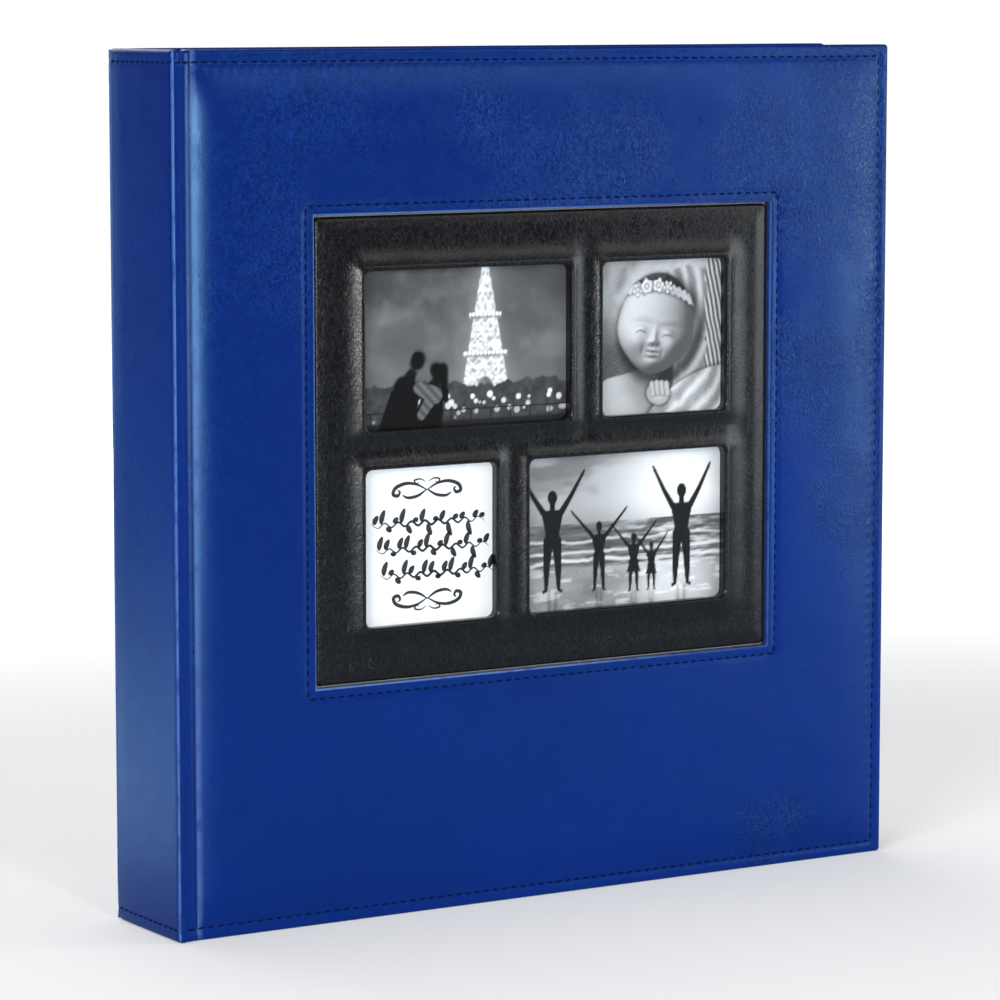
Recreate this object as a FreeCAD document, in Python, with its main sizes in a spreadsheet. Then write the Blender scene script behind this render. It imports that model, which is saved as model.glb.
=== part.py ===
import FreeCAD, Part
import os
import Sketcher

# A scrapbook album standing on its lower edge: a padded leather case (front cover, spine and
# rear cover) around punched leaves on three screw posts, with a framed panel of four picture
# windows let into the front cover.
# X runs across the covers (spine at -X, fore edge at +X), Z up, the front cover looks to -Y.
# The origin is the middle of the lower edge. "Depths" are distances from the middle plane y = 0.

SIZES = [
    ("album_width", 330, "spine face to fore edge"),
    ("album_height", 335, "lower to upper edge of the covers"),
    ("leather_thickness", 1.0, "blue leather with its backing"),
    ("spine_board_thickness", 2.5, "stiff board of the spine"),
    ("spine_lining_thickness", 0.5, "paper inside the spine"),
    ("spine_rise", 1.0, "spine edge proud of the cover's border"),
    ("groove_width", 3.5, "soft joint between spine and cover"),
    ("hinge_clearance", 0.4, "opened cover to spine edge"),
    ("strip_clearance", 0.3, "groove strip to cover"),
    ("board_thickness", 3.0, "cover board"),
    ("border_padding", 1.2, "foam under the stitched border"),
    ("crown_height", 2.3, "extra foam inside the border"),
    ("border_width", 7.0, "flat border outside the padded crown"),
    ("lining_thickness", 0.8, "paper inside a cover"),
    ("turn_in", 12, "leather turned in around the lining"),
    ("corner_radius", 2.0, "outer corners of the covers"),
    ("edge_radius", 1.0, "outer edges of the leather"),
    ("crown_radius", 1.6, "edge of the padded crown"),
    ("stitch_inset", 4.8, "edge stitching from the cover's edge"),
    ("thread_width", 0.9, "stitching line"),
    ("thread_depth", 0.4, "groove that the thread lies in"),
    ("leaf_count", 12, "leaves on the posts"),
    ("leaf_thickness", 0.8, "one leaf"),
    ("spacer_thickness", 1.82, "strip between two leaves"),
    ("leaf_inset", 10, "leaf inside the covers, top and bottom"),
    ("leaf_fore_inset", 8, "leaf inside the covers, fore edge"),
    ("tab_width", 28, "punched binding edge of a leaf"),
    ("tab_gap", 1.5, "binding edge to spine lining"),
    ("crease_gap", 0.3, "binding edge to the turning leaf"),
    ("flap_thickness", 2.0, "binding flap of a cover"),
    ("flap_gap", 0.35, "binding flap to cover lining"),
    ("post_spacing", 108, "between neighbouring screw posts"),
    ("post_radius", 2.5, "barrel of a screw post"),
    ("post_clearance", 0.3, "punched hole around a barrel"),
    ("post_head_radius", 5.0, "heads of barrel and screw"),
    ("post_head_thickness", 1.1, "heads of barrel and screw"),
    ("screw_radius", 1.5, "screw in the barrel"),
    ("screw_clearance", 0.05, "screw in the barrel"),
    ("screw_slot", 1.0, "driver slot, width"),
    ("panel_margin", 21, "black frame around the windows"),
    ("bar_width", 15, "black bars between the windows"),
    ("window_height", 61, "all windows"),
    ("wide_window", 93, "the two wide windows"),
    ("narrow_window", 59, "the two narrow windows"),
    ("panel_rise", 14.7, "panel centre above the cover's centre"),
    ("panel_gap", 0.6, "black frame to the blue turned edge"),
    ("panel_stitch_gap", 4.4, "black frame to the stitching around it"),
    ("picture_thickness", 0.4, "picture card"),
    ("picture_lap", 4.0, "picture behind its window's edge"),
    ("film_thickness", 0.3, "clear film"),
    ("film_inset", 4.0, "film inside the panel's outline"),
    ("frame_board_thickness", 1.5, "board of the black frame"),
    ("frame_foam_thickness", 1.5, "padding of the black frame"),
    ("frame_leather_thickness", 0.8, "black leather"),
    ("window_radius", 3.0, "corners of the windows"),
    ("frame_radius", 1.5, "corners of the black frame"),
]

doc = FreeCAD.newDocument("ScrapbookAlbum")
sheet = doc.addObject("Spreadsheet::Sheet", "Sizes")
for row, (alias, number, note) in enumerate(SIZES, start=1):
    sheet.set(f"A{row}", alias)
    sheet.set(f"B{row}", str(number))
    sheet.set(f"C{row}", note)
    sheet.setAlias(f"B{row}", alias)
doc.recompute()


def value(expression):
    return float(sheet.evalExpression(expression))


def size(alias):
    return f"Sizes.{alias}"


# ---------------------------------------------------------------- depths from the middle plane
STACK = (f"(({size('leaf_count')} * {size('leaf_thickness')}"
         f" + ({size('leaf_count')} + 1) * {size('spacer_thickness')}) / 2)")
FLAP_OUT = f"({STACK} + {size('flap_thickness')})"
LINING_IN = f"({FLAP_OUT} + {size('flap_gap')})"
BOARD_IN = f"({LINING_IN} + {size('lining_thickness')})"
BOARD_OUT = f"({BOARD_IN} + {size('board_thickness')})"
BORDER_FOAM = f"({BOARD_OUT} + {size('border_padding')})"
BORDER_OUT = f"({BORDER_FOAM} + {size('leather_thickness')})"
CROWN_FOAM = f"({BORDER_FOAM} + {size('crown_height')})"
CROWN_OUT = f"({CROWN_FOAM} + {size('leather_thickness')})"
SPINE_OUT = f"({BORDER_OUT} + {size('spine_rise')})"
HINGE = f"(({SPINE_OUT} + {BORDER_OUT} + {size('hinge_clearance')}) / 2)"
PICTURE_OUT = f"({BOARD_OUT} + {size('picture_thickness')})"
FRAME_BACK = f"({PICTURE_OUT} + {size('film_thickness')})"
FRAME_BOARD_OUT = f"({FRAME_BACK} + {size('frame_board_thickness')})"
FRAME_FOAM_OUT = f"({FRAME_BOARD_OUT} + {size('frame_foam_thickness')})"
FRAME_OUT = f"({FRAME_FOAM_OUT} + {size('frame_leather_thickness')})"

# ---------------------------------------------------------------- places along X
SPINE_X = f"(-{size('album_width')} / 2)"
SPINE_BOARD_X = f"({SPINE_X} + {size('leather_thickness')})"
SPINE_EDGE_X = f"({SPINE_BOARD_X} + {size('spine_board_thickness')})"
SPINE_LINING_X = f"({SPINE_EDGE_X} + {size('spine_lining_thickness')})"
COVER_X = f"({SPINE_EDGE_X} + {size('groove_width')})"
FORE_X = f"({size('album_width')} / 2)"
TAB_X = f"({SPINE_LINING_X} + {size('tab_gap')})"
TAB_END_X = f"({TAB_X} + {size('tab_width')})"
CREASE_X = f"({TAB_END_X} + {size('crease_gap')} + {size('leaf_thickness')} / 2)"
LEAF_END_X = f"({FORE_X} - {size('leaf_fore_inset')})"
POST_X = f"(({TAB_X} + {TAB_END_X}) / 2)"

# ---------------------------------------------------------------- outlines, as (x0, x1, z0, z1)
TOP = size("album_height")
MIDDLE_Z = f"({TOP} / 2)"


def inset(outline, amount):
    x0, x1, z0, z1 = outline
    return f"({x0} + {amount})", f"({x1} - {amount})", f"({z0} + {amount})", f"({z1} - {amount})"


def outset(outline, amount):
    return inset(outline, f"(-{amount})")


COVER = (COVER_X, FORE_X, "0", TOP)
COVER_CAVITY = inset(COVER, size("leather_thickness"))
COVER_LINING = inset(COVER, size("turn_in"))
CROWN = inset(COVER, size("border_width"))
CROWN_CAVITY = inset(CROWN, size("leather_thickness"))

PANEL_HALF_WIDTH = (f"({size('panel_margin')} + ({size('wide_window')} + {size('narrow_window')}"
                    f" + {size('bar_width')}) / 2)")
PANEL_HALF_HEIGHT = f"({size('panel_margin')} + {size('window_height')} + {size('bar_width')} / 2)"
PANEL_Z = f"({MIDDLE_Z} + {size('panel_rise')})"
PANEL = (f"(-{PANEL_HALF_WIDTH})", PANEL_HALF_WIDTH,
         f"({PANEL_Z} - {PANEL_HALF_HEIGHT})", f"({PANEL_Z} + {PANEL_HALF_HEIGHT})")
PANEL_RECESS = outset(PANEL, size("panel_gap"))
RECESS_WALL = outset(PANEL_RECESS, size("leather_thickness"))
FRAME_CAVITY = inset(PANEL, size("frame_leather_thickness"))


def window(from_left, width, upper):
    low = f"({PANEL_Z} + {size('bar_width')} / 2)"
    if not upper:
        low = f"({PANEL_Z} - {size('bar_width')} / 2 - {size('window_height')})"
    left = f"(-{PANEL_HALF_WIDTH} + {from_left})"
    return left, f"({left} + {width})", low, f"({low} + {size('window_height')})"


MARGIN = size("panel_margin")
WINDOWS = [
    window(MARGIN, size("wide_window"), True),
    window(f"({MARGIN} + {size('wide_window')} + {size('bar_width')})", size("narrow_window"), True),
    window(MARGIN, size("narrow_window"), False),
    window(f"({MARGIN} + {size('narrow_window')} + {size('bar_width')})", size("wide_window"), False),
]
WINDOW_WALLS = [outset(one, size("frame_leather_thickness")) for one in WINDOWS]
LEAF_LOW = size("leaf_inset")
LEAF_TALL = f"({TOP} - 2 * {size('leaf_inset')})"
POST_HEIGHTS = [f"({MIDDLE_Z} + {step} * {size('post_spacing')})" for step in (-1, 0, 1)]

# ---------------------------------------------------------------- building blocks
FRONT, REAR = -1, 1
TOUCH = 0.001
AXIS_REACH = 10
SUB_PARTS = []


def new_body(label):
    body = doc.addObject("PartDesign::Body", label)
    body.Label = label
    SUB_PARTS.append(body)
    return body


def origin_plane(body, role):
    for feature in body.Origin.OriginFeatures:
        if feature.Role == role:
            return feature
    raise RuntimeError(f"{body.Label} has no {role}")


def new_sketch(body, role, offset):
    sketch = body.newObject("Sketcher::SketchObject", f"{body.Label}_outline")
    sketch.AttachmentSupport = [(origin_plane(body, role), "")]
    sketch.MapMode = "FlatFace"
    sketch.setExpression(".AttachmentOffset.Base.z", offset)
    return sketch


def bind(sketch, kind, geometry, point, expression):
    number = sketch.addConstraint(Sketcher.Constraint(kind, -1, 1, geometry, point, value(expression)))
    sketch.setExpression(f"Constraints[{number}]", expression)


def draw_polygon(sketch, corners):
    """Closes straight lines through the corners and ties each corner to the sheet."""
    points = [FreeCAD.Vector(value(u), value(v), 0) for u, v in corners]
    lines = []
    for start, end in zip(points, points[1:] + points[:1]):
        lines.append(sketch.addGeometry(Part.LineSegment(start, end), False))
    for line, following in zip(lines, lines[1:] + lines[:1]):
        sketch.addConstraint(Sketcher.Constraint("Coincident", line, 2, following, 1))
    for line, (u, v) in zip(lines, corners):
        bind(sketch, "DistanceX", line, 1, u)
        bind(sketch, "DistanceY", line, 1, v)


def draw_rectangle(sketch, outline):
    x0, x1, z0, z1 = outline
    draw_polygon(sketch, [(x0, z0), (x1, z0), (x1, z1), (x0, z1)])


def draw_outline(sketch, outline):
    """An outline is a rectangle (x0, x1, z0, z1) or a list of corners."""
    if isinstance(outline, list):
        draw_polygon(sketch, outline)
    else:
        draw_rectangle(sketch, outline)


def draw_circle(sketch, u, v, radius):
    centre = FreeCAD.Vector(value(u), value(v), 0)
    circle = sketch.addGeometry(Part.Circle(centre, FreeCAD.Vector(0, 0, 1), value(radius)), False)
    bind(sketch, "DistanceX", circle, 3, u)
    bind(sketch, "DistanceY", circle, 3, v)
    number = sketch.addConstraint(Sketcher.Constraint("Radius", circle, value(radius)))
    sketch.setExpression(f"Constraints[{number}]", radius)


def layer_sketch(body, side, depth, outlines, circles=()):
    """A sketch parallel to the covers, at this depth on the front or rear side."""
    sketch = new_sketch(body, "XZ_Plane", depth if side == FRONT else f"-({depth})")
    for outline in outlines:
        draw_outline(sketch, outline)
    for x, z, radius in circles:
        draw_circle(sketch, x, z, radius)
    return sketch


def add_layer(body, side, depth, outer_depth, outlines, circles=()):
    """Material between two depths, inside the first outline and outside the others."""
    pad = body.newObject("PartDesign::Pad", f"{body.Label}_layer")
    pad.Profile = layer_sketch(body, side, depth, outlines, circles)
    pad.setExpression("Length", f"{outer_depth} - {depth}")
    pad.Reversed = side == REAR
    doc.recompute()
    return pad


def cut_block(body, sketch, length, along_normal=True):
    """Pockets a sketch and makes sure that it took something away."""
    before = body.Shape.Volume
    pocket = body.newObject("PartDesign::Pocket", f"{body.Label}_pocket")
    pocket.Profile = sketch
    pocket.setExpression("Length", length)
    pocket.Reversed = along_normal
    doc.recompute()
    if body.Shape.Volume >= before - TOUCH:
        raise RuntimeError(f"a pocket of {body.Label} cuts nothing")


def cut_layer(body, side, depth, outer_depth, outlines, circles=()):
    """Takes away the space between two depths."""
    sketch = layer_sketch(body, side, depth, outlines, circles)
    cut_block(body, sketch, f"{outer_depth} - {depth}", side == FRONT)


def edges_where(shape, test):
    return [f"Edge{number}" for number, edge in enumerate(shape.Edges, start=1) if test(edge)]


def runs_along(edge, direction):
    if edge.Curve.TypeId != "Part::GeomLine":
        return False
    return abs(edge.Curve.Direction.dot(direction)) > 0.999


def corner_edges(shape, outline):
    """The edges along Y at the four corners of an outline."""
    x0, x1, z0, z1 = (value(place) for place in outline)

    def at_corner(edge):
        middle = edge.BoundBox.Center
        near_x = min(abs(middle.x - x0), abs(middle.x - x1)) < TOUCH
        near_z = min(abs(middle.z - z0), abs(middle.z - z1)) < TOUCH
        return near_x and near_z and runs_along(edge, FreeCAD.Vector(0, 1, 0))

    return edges_where(shape, at_corner)


def rim_edges(shape, outline, side, depth):
    """The edges around an outline at one depth, rounded corners included."""
    x0, x1, z0, z1 = (value(place) for place in outline)
    level = side * value(depth)

    def on_rim(edge):
        box = edge.BoundBox
        flat = abs(box.YMin - level) < TOUCH and abs(box.YMax - level) < TOUCH
        reaches_x = abs(box.XMin - x0) < TOUCH or abs(box.XMax - x1) < TOUCH
        reaches_z = abs(box.ZMin - z0) < TOUCH or abs(box.ZMax - z1) < TOUCH
        return flat and (reaches_x or reaches_z)

    return edges_where(shape, on_rim)


def round_edges(body, names, radius):
    if not names:
        raise RuntimeError(f"{body.Label} has no edges to round there")
    base = body.Tip
    fillet = body.newObject("PartDesign::Fillet", f"{body.Label}_rounding")
    fillet.Base = (base, names)
    fillet.setExpression("Radius", radius)
    doc.recompute()
    return fillet


def plain_box(label, x0, x1, y0, y1, z0, z1):
    box = doc.addObject("Part::Box", label)
    box.setExpression("Length", f"{x1} - ({x0})")
    box.setExpression("Width", f"{y1} - ({y0})")
    box.setExpression("Height", f"{z1} - ({z0})")
    box.setExpression(".Placement.Base.x", x0)
    box.setExpression(".Placement.Base.y", y0)
    box.setExpression(".Placement.Base.z", z0)
    return box


def group(label, members):
    compound = doc.addObject("Part::Compound", label)
    compound.Label = label
    compound.Links = members
    SUB_PARTS.append(compound)
    return compound


# ---------------------------------------------------------------- covers
def stitch_ring(outline, inset_by):
    half = f"({size('thread_width')} / 2)"
    return inset(outline, f"({inset_by} - {half})"), inset(outline, f"({inset_by} + {half})")


def edge_stitch_band():
    """The thread along the top, the fore edge and the bottom, open towards the spine."""
    outer, inner = stitch_ring(COVER, size("stitch_inset"))
    start = f"({COVER_X} + {size('edge_radius')})"
    return [(start, outer[2]), (outer[1], outer[2]), (outer[1], outer[3]), (start, outer[3]),
            (start, inner[3]), (inner[1], inner[3]), (inner[1], inner[2]), (start, inner[2])]


def cover_leather(label, side, with_panel):
    """The wrap: outer face, four edges and the turned-in border, hollow for board and foam."""
    body = new_body(label)
    add_layer(body, side, LINING_IN, BORDER_OUT, [COVER])
    round_edges(body, corner_edges(body.Shape, COVER), size("corner_radius"))
    round_edges(body, rim_edges(body.Shape, COVER, side, BORDER_OUT), size("edge_radius"))
    add_layer(body, side, BORDER_OUT, CROWN_OUT, [CROWN])
    round_edges(body, corner_edges(body.Shape, CROWN), size("crown_radius"))
    round_edges(body, rim_edges(body.Shape, CROWN, side, CROWN_OUT), size("crown_radius"))
    island = [RECESS_WALL] if with_panel else []
    cut_layer(body, side, BOARD_IN, BOARD_OUT, [COVER_CAVITY])
    cut_layer(body, side, BOARD_OUT, BORDER_FOAM, [COVER_CAVITY] + island)
    cut_layer(body, side, BORDER_FOAM, CROWN_FOAM, [CROWN_CAVITY] + island)
    cut_layer(body, side, LINING_IN, BOARD_IN, [COVER_LINING])
    stitch_floor = f"({BORDER_OUT} - {size('thread_depth')})"
    cut_layer(body, side, stitch_floor, BORDER_OUT, [edge_stitch_band()])
    if with_panel:
        cut_layer(body, side, BOARD_OUT, CROWN_OUT, [PANEL_RECESS])
        stitch_floor = f"({CROWN_OUT} - {size('thread_depth')})"
        cut_layer(body, side, stitch_floor, CROWN_OUT, panel_stitch_ring())


def panel_stitch_ring():
    return stitch_ring(PANEL, f"(-{size('panel_stitch_gap')})")


def cover_foam(label, side, with_panel):
    body = new_body(label)
    island = [RECESS_WALL] if with_panel else []
    add_layer(body, side, BOARD_OUT, BORDER_FOAM, [COVER_CAVITY] + island)
    add_layer(body, side, BORDER_FOAM, CROWN_FOAM, [CROWN_CAVITY] + island)


def cover_pieces(prefix, side, with_panel):
    cover_leather(f"{prefix}_leather", side, with_panel)
    cover_foam(f"{prefix}_foam", side, with_panel)
    board = new_body(f"{prefix}_board")
    add_layer(board, side, BOARD_IN, BOARD_OUT, [COVER_CAVITY])
    lining = new_body(f"{prefix}_lining")
    add_layer(lining, side, LINING_IN, BOARD_IN, [COVER_LINING])
    thread = new_body(f"{prefix}_stitching")
    stitch_floor = f"({BORDER_OUT} - {size('thread_depth')})"
    add_layer(thread, side, stitch_floor, BORDER_OUT, [edge_stitch_band()])


# ---------------------------------------------------------------- framed panel with four windows
def frame_panel():
    skin = new_body("frame_leather")
    add_layer(skin, FRONT, FRAME_BACK, FRAME_OUT, [PANEL] + WINDOWS)
    round_edges(skin, corner_edges(skin.Shape, PANEL), size("frame_radius"))
    for opening in WINDOWS:
        round_edges(skin, corner_edges(skin.Shape, opening), size("window_radius"))
    round_edges(skin, rim_edges(skin.Shape, PANEL, FRONT, FRAME_OUT), size("frame_radius"))
    cut_layer(skin, FRONT, FRAME_BACK, FRAME_FOAM_OUT, [FRAME_CAVITY] + WINDOW_WALLS)

    board = new_body("frame_board")
    add_layer(board, FRONT, FRAME_BACK, FRAME_BOARD_OUT, [FRAME_CAVITY] + WINDOW_WALLS)
    foam = new_body("frame_foam")
    add_layer(foam, FRONT, FRAME_BOARD_OUT, FRAME_FOAM_OUT, [FRAME_CAVITY] + WINDOW_WALLS)

    thread = new_body("panel_stitching")
    stitch_floor = f"({CROWN_OUT} - {size('thread_depth')})"
    add_layer(thread, FRONT, stitch_floor, CROWN_OUT, panel_stitch_ring())

    film = new_body("window_film")
    add_layer(film, FRONT, PICTURE_OUT, FRAME_BACK, [inset(PANEL, size("film_inset"))])
    for number, opening in enumerate(WINDOWS, start=1):
        card = new_body(f"picture_{number}")
        add_layer(card, FRONT, BOARD_OUT, PICTURE_OUT, [outset(opening, size("picture_lap"))])


# ---------------------------------------------------------------- spine and grooves
def spine_pieces():
    skin = new_body("spine_leather")
    sketch = new_sketch(skin, "XY_Plane", "0")
    draw_rectangle(sketch, (SPINE_X, SPINE_EDGE_X, f"(-{SPINE_OUT})", SPINE_OUT))
    pad = skin.newObject("PartDesign::Pad", "spine_leather_block")
    pad.Profile = sketch
    pad.setExpression("Length", TOP)
    doc.recompute()
    outer = value(SPINE_X)

    def on_outer_corner(edge):
        box = edge.BoundBox
        return abs(box.XMin - outer) < TOUCH and abs(box.XMax - outer) < TOUCH

    round_edges(skin, edges_where(skin.Shape, on_outer_corner), size("edge_radius"))
    board_half = f"({SPINE_OUT} - {size('leather_thickness')})"
    board_low = size("leather_thickness")
    board_high = f"({TOP} - {size('leather_thickness')})"
    hollow = new_sketch(skin, "XY_Plane", board_low)
    draw_rectangle(hollow, (SPINE_BOARD_X, SPINE_EDGE_X, f"(-{board_half})", board_half))
    cut_block(skin, hollow, f"{board_high} - {board_low}")

    board = plain_box("spine_board", SPINE_BOARD_X, SPINE_EDGE_X, f"(-{board_half})", board_half,
                      board_low, board_high)
    SUB_PARTS.append(board)
    lining = plain_box("spine_lining", SPINE_EDGE_X, SPINE_LINING_X, f"(-{LINING_IN})", LINING_IN,
                       size("turn_in"), f"({TOP} - {size('turn_in')})")
    SUB_PARTS.append(lining)
    spine_stitching(skin)


def spine_stitching(skin):
    """One row of thread near each end of the spine, let into the leather."""
    half = f"({size('thread_width')} / 2)"
    reach = f"({SPINE_OUT} - {size('edge_radius')})"
    rows = []
    for name, height in (("low", size("stitch_inset")), ("high", f"({TOP} - {size('stitch_inset')})")):
        edges = (f"({height} - {half})", f"({height} + {half})")
        sketch = new_sketch(skin, "YZ_Plane", SPINE_X)
        draw_rectangle(sketch, (f"(-{reach})", reach) + edges)
        cut_block(skin, sketch, size("thread_depth"))
        rows.append(plain_box(f"spine_thread_{name}", SPINE_X, f"({SPINE_X} + {size('thread_depth')})",
                              f"(-{reach})", reach, *edges))
    group("spine_stitching", rows)


def groove_strip(label, side):
    """The soft leather joint between the spine and one cover."""
    inner = f"({HINGE} - {size('leather_thickness')})"
    low, high = (f"(-{HINGE})", f"(-{inner})") if side == FRONT else (inner, HINGE)
    strip = plain_box(label, SPINE_EDGE_X, f"({COVER_X} - {size('strip_clearance')})", low, high,
                      "0", TOP)
    SUB_PARTS.append(strip)


# ---------------------------------------------------------------- leaves and binding
def leaf_depth(number):
    """Middle of a leaf, counted from the front, as a signed Y."""
    pitch = f"({size('leaf_thickness')} + {size('spacer_thickness')})"
    return f"(-{STACK} + {number} * {pitch} - {size('leaf_thickness')} / 2)"


def leaf(number):
    """A leaf that turns on its scored crease, so its binding side is a half round."""
    middle = leaf_depth(number)
    half = f"({size('leaf_thickness')} / 2)"
    sheet_part = plain_box(f"leaf_{number:02d}_sheet", CREASE_X, LEAF_END_X, f"({middle} - {half})",
                           f"({middle} + {half})", LEAF_LOW, f"({LEAF_LOW} + {LEAF_TALL})")
    fold = doc.addObject("Part::Cylinder", f"leaf_{number:02d}_fold")
    fold.setExpression("Radius", half)
    fold.setExpression("Height", LEAF_TALL)
    fold.setExpression(".Placement.Base.x", CREASE_X)
    fold.setExpression(".Placement.Base.y", middle)
    fold.setExpression(".Placement.Base.z", LEAF_LOW)
    whole = doc.addObject("Part::Fuse", f"leaf_{number:02d}")
    whole.Base = sheet_part
    whole.Tool = fold
    whole.Refine = True
    SUB_PARTS.append(whole)


def punched_strip(name, middle, thickness):
    """A strip on the three posts, standing across Y around its middle."""
    body = doc.addObject("PartDesign::Body", name)
    sketch = new_sketch(body, "XZ_Plane", f"-({middle}) - {thickness} / 2")
    draw_rectangle(sketch, (TAB_X, TAB_END_X, LEAF_LOW, f"({LEAF_LOW} + {LEAF_TALL})"))
    for height in POST_HEIGHTS:
        draw_circle(sketch, POST_X, height, f"({size('post_radius')} + {size('post_clearance')})")
    pad = body.newObject("PartDesign::Pad", f"{name}_strip")
    pad.Profile = sketch
    pad.setExpression("Length", thickness)
    return body


def binding_strips():
    count = int(value(size("leaf_count")))
    tabs = [punched_strip(f"tab_{number}", leaf_depth(number), size("leaf_thickness"))
            for number in range(1, count + 1)]
    group("leaf_tabs", tabs)
    pitch_shift = f"(({size('leaf_thickness')} + {size('spacer_thickness')}) / 2)"
    spacers = [punched_strip(f"spacer_{number}", f"({leaf_depth(number)} + {pitch_shift})",
                             size("spacer_thickness")) for number in range(0, count + 1)]
    group("spacer_strips", spacers)


def binding_flap(label, side):
    """The stiff strip inside a cover that the post heads are sunk into."""
    body = new_body(label)
    outline = (SPINE_LINING_X, TAB_END_X, LEAF_LOW, f"({LEAF_LOW} + {LEAF_TALL})")
    hole = f"({size('post_radius')} + {size('post_clearance')})"
    sink = f"({size('post_head_radius')} + {size('post_clearance')})"
    add_layer(body, side, STACK, FLAP_OUT, [outline], [(POST_X, z, hole) for z in POST_HEIGHTS])
    floor = f"({FLAP_OUT} - {size('post_head_thickness')})"
    cut_layer(body, side, floor, FLAP_OUT, [], [(POST_X, z, sink) for z in POST_HEIGHTS])


def turned_solid(name, height, profile):
    """A solid of revolution on a post's axis, which runs along Y; profile is (radius, y)."""
    body = doc.addObject("PartDesign::Body", name)
    sketch = new_sketch(body, "XY_Plane", height)
    draw_polygon(sketch, [(f"({POST_X} + {radius})", y) for radius, y in profile])
    axis_ends = [FreeCAD.Vector(value(POST_X), y, 0) for y in (-AXIS_REACH, AXIS_REACH)]
    axis = sketch.addGeometry(Part.LineSegment(*axis_ends), True)
    sketch.addConstraint(Sketcher.Constraint("Vertical", axis))
    bind(sketch, "DistanceX", axis, 1, POST_X)
    turn = body.newObject("PartDesign::Revolution", f"{name}_turn")
    turn.Profile = sketch
    turn.ReferenceAxis = (sketch, ["Axis0"])
    turn.Angle = 360
    doc.recompute()
    return body


def screw_posts():
    head_in = f"({FLAP_OUT} - {size('post_head_thickness')})"
    bore = f"({size('screw_radius')} + {size('screw_clearance')})"
    barrel = size("post_radius")
    head = size("post_head_radius")
    barrels = []
    screws = []
    for number, height in enumerate(POST_HEIGHTS, start=1):
        barrels.append(turned_solid(f"barrel_{number}", height, [
            ("0", FLAP_OUT), (head, FLAP_OUT), (head, head_in), (barrel, head_in),
            (barrel, f"-{head_in}"), (bore, f"-{head_in}"), (bore, "0"), ("0", "0")]))
        screw = turned_solid(f"screw_{number}", height, [
            ("0", f"-{FLAP_OUT}"), (head, f"-{FLAP_OUT}"), (head, f"-{head_in}"),
            (size("screw_radius"), f"-{head_in}"), (size("screw_radius"), f"-({STACK} / 4)"),
            ("0", f"-({STACK} / 4)")])
        driver_slot(screw, height)
        screws.append(screw)
    group("post_barrels", barrels)
    group("post_screws", screws)


def driver_slot(screw, height):
    half = f"({size('screw_slot')} / 2)"
    reach = f"({size('post_head_radius')} + {size('post_clearance')})"
    slot = (f"({POST_X} - {reach})", f"({POST_X} + {reach})", f"({height} - {half})",
            f"({height} + {half})")
    floor = f"({FLAP_OUT} - {size('post_head_thickness')} / 2)"
    cut_layer(screw, FRONT, floor, FLAP_OUT, [slot])


# ---------------------------------------------------------------- the album
spine_pieces()
groove_strip("front_groove", FRONT)
groove_strip("rear_groove", REAR)
cover_pieces("front", FRONT, True)
frame_panel()
cover_pieces("rear", REAR, False)
binding_flap("front_flap", FRONT)
binding_flap("rear_flap", REAR)
binding_strips()
screw_posts()
for leaf_number in range(1, int(value(size("leaf_count"))) + 1):
    leaf(leaf_number)
doc.recompute()

for item in doc.Objects:
    if "Invalid" in item.State or "Error" in item.State:
        raise RuntimeError(f"{item.Label} did not build: {item.State}")
os.makedirs("parts", exist_ok=True)
for part in SUB_PARTS:
    if part.Shape.isNull() or not part.Shape.isValid() or not part.Shape.Solids:
        raise RuntimeError(f"{part.Label} is not a sound solid")
    part.Shape.exportStep(f"parts/{part.Label}.step")
    print(part.Label, len(part.Shape.Solids), round(part.Shape.Volume / 1000, 3), "cm3")
print("hinge axis x", round(value(f"(({SPINE_EDGE_X} + {COVER_X}) / 2)"), 4),
      "depth", round(value(HINGE), 4))
print("crease axis x", round(value(CREASE_X), 4),
      "leaf y", [round(value(leaf_depth(n)), 4) for n in range(1, int(value(size("leaf_count"))) + 1)])
print("depths", {name: round(value(text), 4) for name, text in (
    ("border", BORDER_OUT), ("crown", CROWN_OUT), ("spine", SPINE_OUT), ("frame", FRAME_OUT),
    ("film", FRAME_BACK))})
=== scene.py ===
import functools
import math

import bmesh
import bpy
import numpy as np
from bpy.props import FloatProperty, FloatVectorProperty, IntProperty, PointerProperty
from mathutils import Matrix, Vector, noise


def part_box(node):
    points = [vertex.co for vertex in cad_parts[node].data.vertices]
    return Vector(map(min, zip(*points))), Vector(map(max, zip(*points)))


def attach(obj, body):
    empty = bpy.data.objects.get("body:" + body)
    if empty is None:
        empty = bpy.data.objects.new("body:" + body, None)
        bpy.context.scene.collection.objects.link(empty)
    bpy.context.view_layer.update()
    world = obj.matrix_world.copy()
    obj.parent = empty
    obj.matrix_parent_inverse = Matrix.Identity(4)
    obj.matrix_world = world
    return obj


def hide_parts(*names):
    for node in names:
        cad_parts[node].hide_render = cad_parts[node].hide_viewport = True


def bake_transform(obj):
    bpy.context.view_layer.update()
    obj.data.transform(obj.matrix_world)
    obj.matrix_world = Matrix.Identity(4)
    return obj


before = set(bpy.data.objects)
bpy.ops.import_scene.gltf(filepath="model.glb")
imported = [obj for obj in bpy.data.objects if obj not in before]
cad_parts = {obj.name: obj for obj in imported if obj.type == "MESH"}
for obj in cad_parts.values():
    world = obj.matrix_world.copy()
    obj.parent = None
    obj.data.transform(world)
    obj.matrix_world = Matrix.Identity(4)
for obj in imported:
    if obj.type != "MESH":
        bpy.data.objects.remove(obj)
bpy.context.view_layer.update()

bl_info = {
    "name": "Padded Scrapbook Album",
    "version": (1, 0, 0),
    "blender": (4, 5, 0),
    "location": "View3D > Sidebar > Album",
    "description": "Dresses a hinged scrapbook album in stitched leather, with a framed window panel",
    "category": "Object",
}

MM = 0.001


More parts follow.
